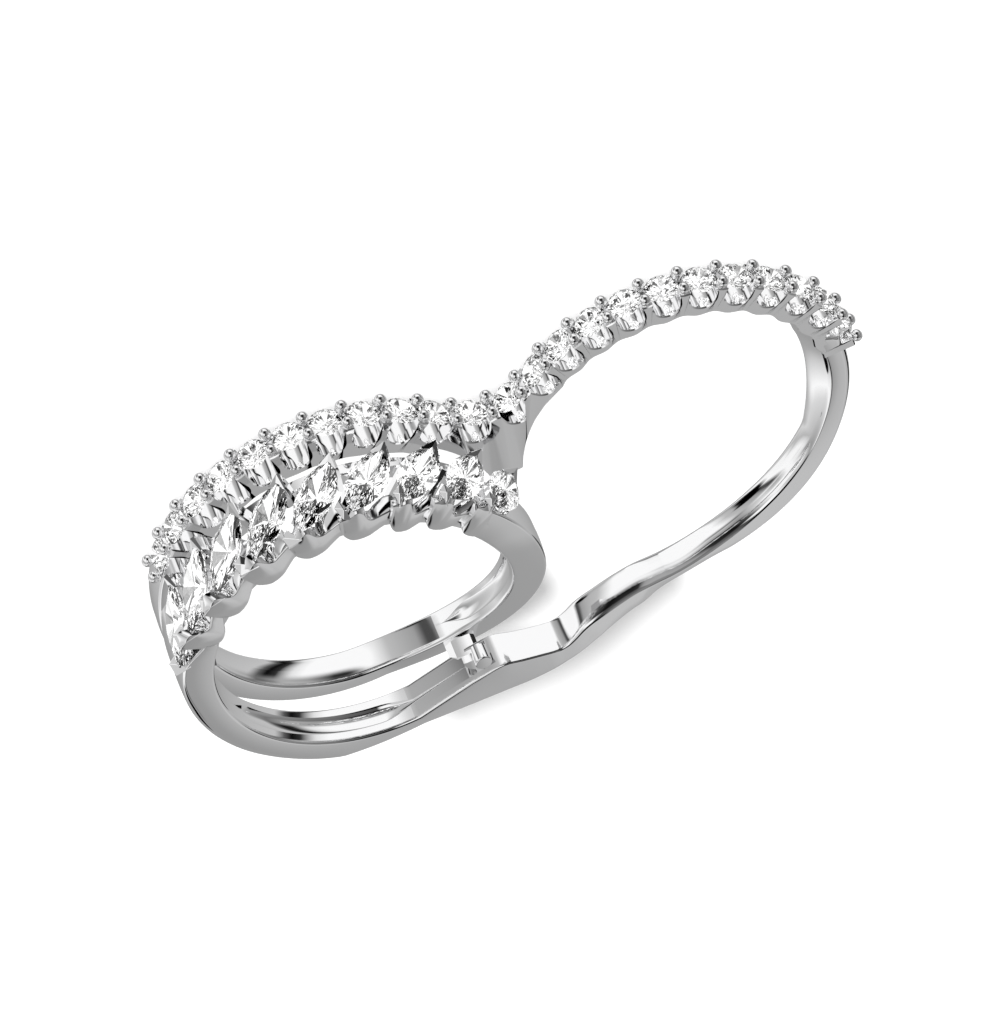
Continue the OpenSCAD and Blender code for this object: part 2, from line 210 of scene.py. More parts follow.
def hull_mesh(name: str, groups: Sequence, rim: float) -> bpy.types.Mesh:
    """Makes crisp convex bodies.

    Args:
        name: the mesh's name.
        groups: the corners of each body, in millimetres.
        rim: bevel of the edges, in millimetres.

    Returns:
        The mesh, in metres.
    """
    work = bmesh.new()
    for corners in groups:
        made = [work.verts.new(tuple((c + FIRST_AXIS) * MM)) for c in corners]
        result = bmesh.ops.convex_hull(work, input=made)
        unused = result["geom_interior"] + result["geom_unused"]
        loose = [v for v in unused if isinstance(v, bmesh.types.BMVert)]
        bmesh.ops.delete(work, geom=list(set(loose)), context="VERTS")
    bmesh.ops.recalc_face_normals(work, faces=work.faces)
    bmesh.ops.bevel(work, geom=work.edges[:], offset=rim * MM, segments=1, affect="EDGES")
    mesh = bpy.data.meshes.new(name)
    work.to_mesh(mesh)
    work.free()
    mesh.shade_flat()
    return mesh


def linked(mesh: bpy.types.Mesh, name: str) -> bpy.types.Object:
    """Puts a mesh into the scene as an object."""
    piece = bpy.data.objects.new(name, mesh)
    bpy.context.scene.collection.objects.link(piece)
    return piece


def applied(piece: bpy.types.Object) -> bpy.types.Mesh:
    """Applies a piece's modifier, and returns its new mesh."""
    bpy.context.view_layer.update()
    graph = bpy.context.evaluated_depsgraph_get()
    solid = bpy.data.meshes.new_from_object(piece.evaluated_get(graph))
    piece.modifiers.clear()
    piece.data = solid
    solid.name = piece.name
    return solid


def screen_light(tone: float) -> float:
    """Turns a tone as it looks on a screen into light."""
    return tone ** SCREEN_POWER


def grey(light: float) -> tuple[float, float, float, float]:
    """Gives the colour of a grey light."""
    return light, light, light, 1


class ShaderBuilder:
    """Adds nodes to one node tree."""

    def __init__(self, tree: bpy.types.NodeTree) -> None:
        """Takes the tree."""
        self.tree = tree

    def node(self, kind: str, **settings: object) -> bpy.types.Node:
        """Adds a node and sets its properties."""
        made = self.tree.nodes.new(kind)
        for key, value in settings.items():
            setattr(made, key, value)
        return made

    def link(self, source: bpy.types.NodeSocket, target: bpy.types.NodeSocket) -> None:
        """Links two sockets."""
        self.tree.links.new(source, target)

    def feed(self, source: object, target: bpy.types.NodeSocket) -> None:
        """Links a socket to another one, or sets a value on it."""
        if isinstance(source, bpy.types.NodeSocket):
            self.link(source, target)
        else:
            target.default_value = source

    def ramp(self, place: bpy.types.NodeSocket, stops: Sequence) -> bpy.types.NodeSocket:
        """Adds a ramp of tones.

        Args:
            place: socket with the place on the ramp, from 0 to 1.
            stops: places and the tones there, as they look on a screen.

        Returns:
            Socket with the light.
        """
        made = self.node("ShaderNodeValToRGB")
        self.link(place, made.inputs["Fac"])
        elements = made.color_ramp.elements
        while len(elements) < len(stops):
            elements.new(0.5)
        for element, (at, tone) in zip(elements, stops):
            element.position = at
            element.color = grey(screen_light(tone))
        return made.outputs["Color"]

    def step(self, value: bpy.types.NodeSocket, start: float, end: float) -> bpy.types.NodeSocket:
        """Adds a smooth step.

        Args:
            value: socket with a value.
            start: value up to which the step is 0.
            end: value from which it is 1.

        Returns:
            Socket with the step.
        """
        made = self.node("ShaderNodeMapRange", interpolation_type="SMOOTHSTEP")
        self.link(value, made.inputs["Value"])
        made.inputs["From Min"].default_value = start
        made.inputs["From Max"].default_value = end
        return made.outputs["Result"]

    def mix(self, share: bpy.types.NodeSocket, first: object, second: object) -> bpy.types.NodeSocket:
        """Mixes two colours.

        Args:
            share: socket with the share of the second one.
            first: socket or value of the first one.
            second: socket or value of the second one.

        Returns:
            Socket with the mix.
        """
        made = self.node("ShaderNodeMix", data_type="RGBA")
        self.link(share, made.inputs["Factor"])
        self.feed(first, made.inputs[6])
        self.feed(second, made.inputs[7])
        return made.outputs[2]

    def math(self, operation: str, *values: object) -> bpy.types.NodeSocket:
        """Adds a math node.

        Args:
            operation: what it works out.
            values: sockets or numbers that it works on.

        Returns:
            Socket with the result.
        """
        made = self.node("ShaderNodeMath", operation=operation)
        for socket, value in zip(made.inputs, values):
            self.feed(value, socket)
        return made.outputs[0]


@dataclass(frozen=True)
class Card:
    """A soft-edged round card of the studio, seen in reflections.

    Attributes:
        towards: direction of its middle.
        radius: half its size, as a chord of the unit sphere.
        soft: width of its edge.
        tone: its brightness, as it looks on a screen.
    """

    towards: tuple[float, float, float]
    radius: float
    soft: float
    tone: float


@dataclass(frozen=True)
class Studio:
    """The studio round the ring: its walls' tones by direction, its cards, floor, key light and camera.

    Attributes:
        low_wall: tones under the ring's front plane, by azimuth.
        middle_wall: tones a little over and under the horizon.
        high_wall: tones over it.
        splits: elevations between which each wall turns into the next.
        cards: cards over the walls.
        glints: tones of the finely broken light that the stones gather, by share.
        glint_scale: fineness of that light.
        sky_light: light that the floor gathers from all round.
        key_light: strength of the key light.
        key_way: direction in which it shines.
        key_soft: its width as seen from the ring.
        floor_size: length of the floor's sides.
        floor_tone: share of the light that the floor gives back.
        camera_right: direction to the picture's right.
        camera_up: direction to the picture's top.
        view_middle: place in the middle of the picture, in the frame's axes.
        view_height: height that the picture shows there.
        camera_distance: distance of the camera from there.
        sensor: width of the camera's sensor.
        clip: nearest and farthest distance that the camera sees, in metres.
    """

    low_wall: tuple = (
        (-180, 0.72), (-160, 0.84), (-145, 0.72), (-122, 0.66), (-111, 0.62), (-90, 0.60),
        (-50, 0.7), (-8, 0.76), (0, 0.35), (6, 0.04), (14, 0.2), (26, 0.9),
        (36, 1.0), (86, 1.0), (100, 0.74), (122, 0.62), (129, 0.3), (135, 0.3),
        (144, 1.0), (166, 0.97), (180, 0.72),
    )
    middle_wall: tuple = (
        (-180, 0.72), (-158, 0.86), (-148, 1.0), (-130, 0.80), (-122, 0.66), (-111, 0.6),
        (-90, 0.62), (-66, 0.7), (-40, 0.7), (-18, 0.6), (0, 0.45), (20, 0.66),
        (40, 0.6), (58, 0.2), (84, 0.08), (96, 0.3), (106, 0.74), (118, 0.98),
        (148, 0.98), (162, 0.6), (180, 0.72),
    )
    high_wall: tuple = (
        (-180, 0.72), (-158, 0.86), (-148, 1.0), (-130, 0.92), (-120, 0.04), (-114, 0.04),
        (-110, 0.58), (-96, 0.60), (-86, 0.70), (-70, 0.75), (-40, 0.76), (-33, 0.04),
        (-24, 0.04), (-18, 0.60), (0, 0.5), (30, 0.45), (60, 0.35), (80, 0.28),
        (87, 0.9), (93, 1.0), (112, 1.0), (124, 0.8), (148, 0.8), (162, 0.6),
        (180, 0.72),
    )
    splits: tuple = ((-30.0, -16.0), (20.0, 31.0))
    cards: tuple = (
        Card((0.0, 0.16, 0.98), 0.30, 0.14, 0.03),
        Card((-0.329, 0.495, -0.804), 0.11, 0.07, 0.02),
        Card((-0.582, -0.801, 0.139), 0.17, 0.05, 0.03),
        Card((0.551, -0.816, -0.174), 0.19, 0.05, 0.05),
    )
    glints: tuple = ((0.0, 0.2), (0.05, 0.35), (0.1, 0.62), (0.34, 0.82), (0.42, 1.1), (1.0, 1.35))
    glint_scale: float = 8.0
    sky_light: float = 0.66
    key_light: float = 3.9
    key_way: tuple = (0.2, -1.5, -1.0)
    key_soft: float = 10.0
    floor_size: float = 4000.0
    floor_tone: float = 0.97
    camera_right: tuple = (0.923, -0.2355, 0.304)
    camera_up: tuple = (0.385, 0.565, -0.730)
    view_middle: tuple = (-1.1555, 1.3544, 4.618)
    view_height: float = 55.96
    camera_distance: float = 600.0
    sensor: float = 36.0
    clip: tuple = (0.01, 10.0)

    def make_world(self) -> None:
        """Makes the world: metal sees walls and cards, stones see glints and the floor sees plain light."""
        world = bpy.data.worlds.new("studio")
        bpy.context.scene.world = world
        world.use_nodes = True
        tree = world.node_tree
        tree.nodes.clear()
        build = ShaderBuilder(tree)
        direction = build.node("ShaderNodeTexCoord").outputs["Generated"]
        light = self.wall_light(build, direction)
        for card in self.cards:
            light = self.card_over(build, direction, light, card)
        path = build.node("ShaderNodeLightPath")
        light = build.mix(path.outputs["Is Transmission Ray"], light, self.glint_light(build, direction))
        light = build.mix(path.outputs["Is Diffuse Ray"], light, grey(self.sky_light))
        background = build.node("ShaderNodeBackground")
        build.link(light, background.inputs["Color"])
        output = build.node("ShaderNodeOutputWorld")
        build.link(background.outputs[0], output.inputs["Surface"])

    def wall_light(self, build: ShaderBuilder, direction: bpy.types.NodeSocket) -> bpy.types.NodeSocket:
        """Adds the light of the three walls.

        Args:
            build: the world's node tree.
            direction: socket with the direction looked in.

        Returns:
            Socket with the light by direction.
        """
        split = build.node("ShaderNodeSeparateXYZ")
        build.link(direction, split.inputs[0])
        turn = build.math("ARCTAN2", split.outputs["Y"], split.outputs["X"])
        turn = build.math("MULTIPLY_ADD", turn, 0.5 / math.pi, 0.5)
        walls = (self.low_wall, self.middle_wall, self.high_wall)
        light, *others = (build.ramp(turn, [(0.5 + a / 360, tone) for a, tone in wall]) for wall in walls)
        for tone, (start, end) in zip(others, self.splits):
            rise = build.step(split.outputs["Z"], math.sin(math.radians(start)), math.sin(math.radians(end)))
            light = build.mix(rise, light, tone)
        return light

    def glint_light(self, build: ShaderBuilder, direction: bpy.types.NodeSocket) -> bpy.types.NodeSocket:
        """Adds the finely broken light that the stones gather.

        Args:
            build: the world's node tree.
            direction: socket with the direction looked in.

        Returns:
            Socket with the light by direction.
        """
        cells = build.node("ShaderNodeTexVoronoi")
        build.link(direction, cells.inputs["Vector"])
        cells.inputs["Scale"].default_value = self.glint_scale
        parts = build.node("ShaderNodeSeparateColor")
        build.link(cells.outputs["Color"], parts.inputs[0])
        return build.ramp(parts.outputs[0], self.glints)

    @staticmethod
    def card_over(
        build: ShaderBuilder, direction: bpy.types.NodeSocket, light: bpy.types.NodeSocket, card: Card,
    ) -> bpy.types.NodeSocket:
        """Lays a card over the light so far.

        Args:
            build: the world's node tree.
            direction: socket with the direction looked in.
            light: socket with the light so far.
            card: the card.

        Returns:
            Socket with the light including the card.
        """
        away = build.node("ShaderNodeVectorMath", operation="DISTANCE")
        build.link(direction, away.inputs[0])
        away.inputs[1].default_value = Vector(card.towards).normalized()
        edge = build.step(away.outputs["Value"], card.radius, card.radius + card.soft)
        return build.mix(edge, grey(screen_light(card.tone)), light)

    def make_key(self, floor: bpy.types.Object, blockers: Sequence[bpy.types.Object]) -> None:
        """Makes the soft key light that throws the bridge's shadow on the floor.

        Args:
            floor: the object that it lights.
            blockers: the pieces that stand in its way.
        """
        data = bpy.data.lights.new("key", "SUN")
        data.energy = self.key_light
        data.angle = math.radians(self.key_soft)
        key = bpy.data.objects.new("key", data)
        bpy.context.scene.collection.objects.link(key)
        key.rotation_euler = Vector(self.key_way).to_track_quat("-Z", "Y").to_euler()
        for name, pieces in (("receiver", [floor]), ("blocker", blockers)):
            group = bpy.data.collections.new(f"key_{name}s")
            for piece in pieces:
                group.objects.link(piece)
            setattr(key.light_linking, f"{name}_collection", group)

    def make_floor(self) -> bpy.types.Object:
        """Makes the pale floor, which reflections don't see, and returns it."""
        plan = MeshPlan()
        half = self.floor_size / 2
        plan.face(*plan.add([(-half, -half, 0), (half, -half, 0), (half, half, 0), (-half, half, 0)]))
        floor = linked(plan.mesh("floor", None), "floor")
        paint = bpy.data.materials.new("pale_floor")
        paint.use_nodes = True
        shader = paint.node_tree.nodes["Principled BSDF"]
        shader.inputs["Base Color"].default_value = grey(self.floor_tone)
        shader.inputs["Roughness"].default_value = 1.0
        shader.inputs["Specular IOR Level"].default_value = 0.0
        floor.data.materials.append(paint)
        floor.visible_glossy = False
        floor.visible_transmission = False
        return floor

    def make_camera(self) -> None:
        """Makes the camera at the photograph's angle."""
        right = Vector(self.camera_right).normalized()
        up = Vector(self.camera_up)
        up = (up - up.dot(right) * right).normalized()
        back = right.cross(up)
        data = bpy.data.cameras.new("camera")
        camera = bpy.data.objects.new("camera", data)
        bpy.context.scene.collection.objects.link(camera)
        place = (Vector(self.view_middle) + back * self.camera_distance) * MM
        turn = Matrix((right, up, back)).transposed().to_4x4()
        camera.matrix_world = Matrix.Translation(place) @ turn
        data.sensor_width = self.sensor
        data.lens = self.sensor * self.camera_distance / self.view_height
        data.clip_start, data.clip_end = self.clip
        bpy.context.scene.camera = camera


@dataclass(frozen=True)
class PolishedWhiteGold:
    """Mirror-polished white gold with faint polishing marks.

    Attributes:
        colour: tone of its reflections.
        mark_scale: fineness of the marks.
        mark_detail: how much finer marks they hold.
        gloss: roughness of the smoothest and the roughest spots.
    """

    colour: tuple = (0.955, 0.955, 0.96, 1)
    mark_scale: float = 900.0
    mark_detail: float = 3.0
    gloss: tuple = (0.03, 0.09)

    def material(self) -> bpy.types.Material:
        """Makes the material."""
        material = bpy.data.materials.new("polished_white_gold")
        material.use_nodes = True
        build = ShaderBuilder(material.node_tree)
        shader = material.node_tree.nodes["Principled BSDF"]
        shader.inputs["Base Color"].default_value = self.colour
        shader.inputs["Metallic"].default_value = 1.0
        place = build.node("ShaderNodeTexCoord")
        marks = build.node("ShaderNodeTexNoise")
        build.link(place.outputs["Object"], marks.inputs["Vector"])
        marks.inputs["Scale"].default_value = self.mark_scale
        marks.inputs["Detail"].default_value = self.mark_detail
        gloss = build.node("ShaderNodeMapRange")
        build.link(marks.outputs["Fac"], gloss.inputs["Value"])
        gloss.inputs["To Min"].default_value, gloss.inputs["To Max"].default_value = self.gloss
        build.link(gloss.outputs["Result"], shader.inputs["Roughness"])
        return material


@dataclass(frozen=True)
class ClearDiamond:
    """Clear, colourless diamond.

    Attributes:
        name: the material's name.
        bend: index by which it bends light.
    """

    name: str
    bend: float

    def material(self) -> bpy.types.Material:
        """Makes the material."""
        material = bpy.data.materials.new(self.name)
        material.use_nodes = True
        shader = material.node_tree.nodes["Principled BSDF"]
        shader.inputs["Base Color"].default_value = grey(1)
        shader.inputs["Roughness"].default_value = 0.0
        shader.inputs["IOR"].default_value = self.bend
        shader.inputs["Transmission Weight"].default_value = 1.0
        return material


class Repeater:
    """Copies a source piece onto places with one Geometry Nodes group."""

    def __init__(self) -> None:
        """Makes the group with its inputs: the places, the source and the finish."""
        self.group = bpy.data.node_groups.new("copies_at_places", "GeometryNodeTree")
        face = self.group.interface
        face.new_socket("Geometry", in_out="INPUT", socket_type="NodeSocketGeometry")
        self.source = face.new_socket("Source", in_out="INPUT", socket_type="NodeSocketObject").identifier
        self.finish = face.new_socket("Finish", in_out="INPUT", socket_type="NodeSocketMaterial").identifier
        face.new_socket("Geometry", in_out="OUTPUT", socket_type="NodeSocketGeometry")
        self.fill()

    def fill(self) -> None:
        """Adds the group's nodes: it turns each copy's Z to "outward" and its X to "along"."""
        build = ShaderBuilder(self.group)
        start = build.node("NodeGroupInput")
        end = build.node("NodeGroupOutput")
        source = build.node("GeometryNodeObjectInfo", transform_space="ORIGINAL")
        build.link(start.outputs["Source"], source.inputs["Object"])
        outward = build.node("GeometryNodeInputNamedAttribute", data_type="FLOAT_VECTOR")
        outward.inputs["Name"].default_value = "outward"
        along = build.node("GeometryNodeInputNamedAttribute", data_type="FLOAT_VECTOR")
        along.inputs["Name"].default_value = "along"
        stand = build.node("FunctionNodeAlignRotationToVector", axis="Z", pivot_axis="AUTO")
        build.link(outward.outputs["Attribute"], stand.inputs["Vector"])
        turn = build.node("FunctionNodeAlignRotationToVector", axis="X", pivot_axis="Z")
        build.link(stand.outputs["Rotation"], turn.inputs["Rotation"])
        build.link(along.outputs["Attribute"], turn.inputs["Vector"])
        points = build.node("GeometryNodeMeshToPoints")
        build.link(start.outputs["Geometry"], points.inputs["Mesh"])
        copies = build.node("GeometryNodeInstanceOnPoints")
        build.link(points.outputs["Points"], copies.inputs["Points"])
        build.link(source.outputs["Geometry"], copies.inputs["Instance"])
        build.link(turn.outputs["Rotation"], copies.inputs["Rotation"])
        real = build.node("GeometryNodeRealizeInstances")
        build.link(copies.outputs["Instances"], real.inputs["Geometry"])
        dress = build.node("GeometryNodeSetMaterial")
        build.link(real.outputs["Geometry"], dress.inputs["Geometry"])
        build.link(start.outputs["Finish"], dress.inputs["Material"])
        build.link(dress.outputs["Geometry"], end.inputs["Geometry"])

    def copies(
        self, name: str, source: bpy.types.Object, places: Sequence, material: bpy.types.Material,
    ) -> bpy.types.Object:
        """Makes one piece from copies of a source.

        Args:
            name: the new piece's name.
            source: the object that is copied; its own axes are X along and Z outward, in metres.
            places: triples of a point in millimetres, the outward direction and the direction along.
            material: the finish of the copies.

        Returns:
            The piece, as a plain mesh.
        """
        mesh = bpy.data.meshes.new(name + "_places")
        mesh.from_pydata([tuple((np.asarray(p, float) + FIRST_AXIS) * MM) for p, _, _ in places], [], [])
        for label, column in (("outward", 1), ("along", 2)):
            values = mesh.attributes.new(label, "FLOAT_VECTOR", "POINT")
            values.data.foreach_set("vector", np.array([row[column] for row in places], np.float32).ravel())
        piece = linked(mesh, name)
        modifier = piece.modifiers.new("copies", "NODES")
        modifier.node_group = self.group
        modifier[self.source] = source
        modifier[self.finish] = material
        applied(piece)
        return piece


class Cut(Enum):
    """Outline of a faceted stone."""

    ROUND = "round"
    MARQUISE = "marquise"


@dataclass(frozen=True)
class Brilliant:
    """A faceted diamond: main facets above and below, with stars and halves.

    Attributes:
        cut: the outline.
        length: size along X.
        width: size along Y.
        crown: height of the table over the girdle's middle.
        pavilion: depth of the point below it.
        girdle: half the girdle's thickness.
        table: the table's share of the outline.
        mains: number of main facets.
        star_share: share of the way from the table to the girdle that the stars' tips reach.
        star_height: share of the crown's height at which they are.
        lower_share: share of the outline at which the lower halves meet.
        lower_sag: rise of the pavilion from its point to there, as a share of a straight cone's.
    """

    cut: Cut
    length: float
    width: float
    crown: float
    pavilion: float
    girdle: float
    table: float
    mains: int = 8
    star_share: float = 0.52
    star_height: float = 0.60
    lower_share: float = 0.24
    lower_sag: float = 0.98

    def outline(self, turn: float) -> np.ndarray:
        """Finds a point of the outline.

        Args:
            turn: share of a full turn about the middle.

        Returns:
            The point, in X and Y.
        """
        a = 2 * math.pi * turn
        x = self.length / 2 * math.cos(a)
        if self.cut is Cut.ROUND:
            return np.array([x, self.width / 2 * math.sin(a)])
        radius = (self.length ** 2 + self.width ** 2) / (4 * self.width)
        height = math.sqrt(radius * radius - x * x) - (radius - self.width / 2)
        return np.array([x, math.copysign(max(height, 0.0), math.sin(a))])

    def level(self, turns: Sequence[float], share: float, z: float) -> list[tuple[float, float, float]]:
        """Points of the outline at some turns, shrunk to a share, at a height."""
        return [(*(self.outline(t) * share), z) for t in turns]

    def plan(self) -> MeshPlan:
        """Makes the facets, with the girdle's middle at the origin."""
        plan = MeshPlan()
        n = self.mains
        whole = [k / n for k in range(n)]
        half = [(k + 0.5) / n for k in range(n)]
        fine = [k / (2 * n) for k in range(2 * n)]
        star = self.table + (1 - self.table) * self.star_share
        star_z = self.girdle + (self.crown - self.girdle) * self.star_height
        low_z = -self.pavilion * (1 - self.lower_share * self.lower_sag)
        top = plan.add(self.level(whole, self.table, self.crown))
        stars = plan.add(self.level(half, star, star_z))
        high = plan.add(self.level(fine, 1.0, self.girdle))
        low = plan.add(self.level(fine, 1.0, -self.girdle))
        lows = plan.add(self.level(half, self.lower_share, low_z))
        point = plan.add([(0, 0, -self.pavilion)])[0]
        plan.face(*top)
        for k in range(n):
            m = (k + 1) % n
            a, b, c = 2 * k, 2 * k + 1, (2 * k + 2) % (2 * n)
            plan.face(top[k], stars[k], top[m])
            plan.face(top[m], stars[k], high[c])
            plan.face(top[m], high[c], stars[m])
            plan.face(stars[k], high[a], high[b])
            plan.face(stars[k], high[b], high[c])
            plan.face(lows[k], low[b], low[a])
            plan.face(lows[k], low[c], low[b])
            plan.face(point, lows[m], low[c])
            plan.face(point, low[c], lows[k])
            plan.face(high[a], low[a], low[b], high[b])
            plan.face(high[b], low[b], low[c], high[c])
        return plan


@dataclass(frozen=True)
class StoneRow:
    """The girdle line of the round stones: an arc over each finger and a valley arc between them.

    Attributes:
        count: number of stones.
        left_c, left_r: circle over the first finger.
        right_c, right_r: circle over the second finger.
        valley_r: radius of the valley arc, which touches both.
        start: angle of the first stone.
        end: angle of the last stone.
        width: width of the rail along the fingers; the stones stand in its middle.
        turn: how much further each stone is turned than the one before it.
        stone: the stones' cut.
    """

    count: int = 23
    left_c: tuple = (0.55, 0.0)
    left_r: float = 10.85
    right_c: tuple = (PITCH + 0.2, 0.0)
    right_r: float = 10.3
    valley_r: float = 3.5
    start: float = 149.2
    end: float = 8.9
    width: float = 1.9
    turn: float = 17.0
    stone: Brilliant = Brilliant(Cut.ROUND, 1.86, 1.86, 0.30, 0.78, 0.02, 0.56)

    def valley(self) -> tuple[np.ndarray, float, float]:
        """Gives the valley arc's centre and the angles where it meets the two others."""
        d1, d2 = self.left_r + self.valley_r, self.right_r + self.valley_r
        gap = self.right_c[0] - self.left_c[0]
        x = (d1 * d1 - d2 * d2 + gap * gap) / (2 * gap)
        centre = np.array([self.left_c[0] + x, math.sqrt(d1 * d1 - x * x)])
        a1 = math.degrees(math.atan2(centre[1] - self.left_c[1], centre[0] - self.left_c[0]))
        a2 = math.degrees(math.atan2(centre[1] - self.right_c[1], centre[0] - self.right_c[0]))
        return centre, a1, a2

    def lengths(self) -> tuple[float, float, float]:
        """Gives the lengths of the three arcs."""
        _, a1, a2 = self.valley()
        return (
            math.radians(self.start - a1) * self.left_r,
            math.radians(180 - a2 + a1) * self.valley_r,
            math.radians(a2 - self.end) * self.right_r,
        )

    def pitch(self) -> float:
        """Distance between two stones along the row."""
        return sum(self.lengths()) / (self.count - 1)

    def facing(self, s: float) -> float:
        """Finds where the row faces.

        Args:
            s: distance along the row from the first stone.

        Returns:
            The angle in which it faces there.
        """
        first, middle, _ = self.lengths()
        _, a1, a2 = self.valley()
        if s < first:
            return self.start - math.degrees(s / self.left_r)
        if s < first + middle:
            return a1 + math.degrees((s - first) / self.valley_r)
        return a2 - math.degrees((s - first - middle) / self.right_r)

    def point(self, s: float, off: float = 0.0) -> np.ndarray:
        """Finds a point of the girdle line or beside it.

        Args:
            s: distance along the row from the first stone.
            off: how far the point lies outwards.

        Returns:
            The point, in X and Y.
        """
        first, middle, _ = self.lengths()
        centre, _, _ = self.valley()
        a = self.facing(s)
        if s < first:
            return polar(self.left_r + off, a, self.left_c)
        if s < first + middle:
            return polar(-(self.valley_r - off), a, centre)
        return polar(self.right_r + off, a, self.right_c)

    def outward(self, s: float) -> np.ndarray:
        """Direction in which the row faces at a distance from the first stone."""
        return np.array([*polar(1.0, self.facing(s)), 0.0])

    def place(self, i: int) -> tuple[np.ndarray, np.ndarray, np.ndarray]:
        """Finds the place of a stone.

        Args:
            i: its number, from 0.

        Returns:
            The place, the outward direction and the direction along the stone.
        """
        s = i * self.pitch()
        out = self.outward(s)
        turn = math.radians(self.turn * i)
        side = np.array([-out[1], out[0], 0.0])
        along = side * math.sin(turn) + np.array([0.0, 0.0, math.cos(turn)])
        return np.array([*self.point(s), self.width / 2]), out, along


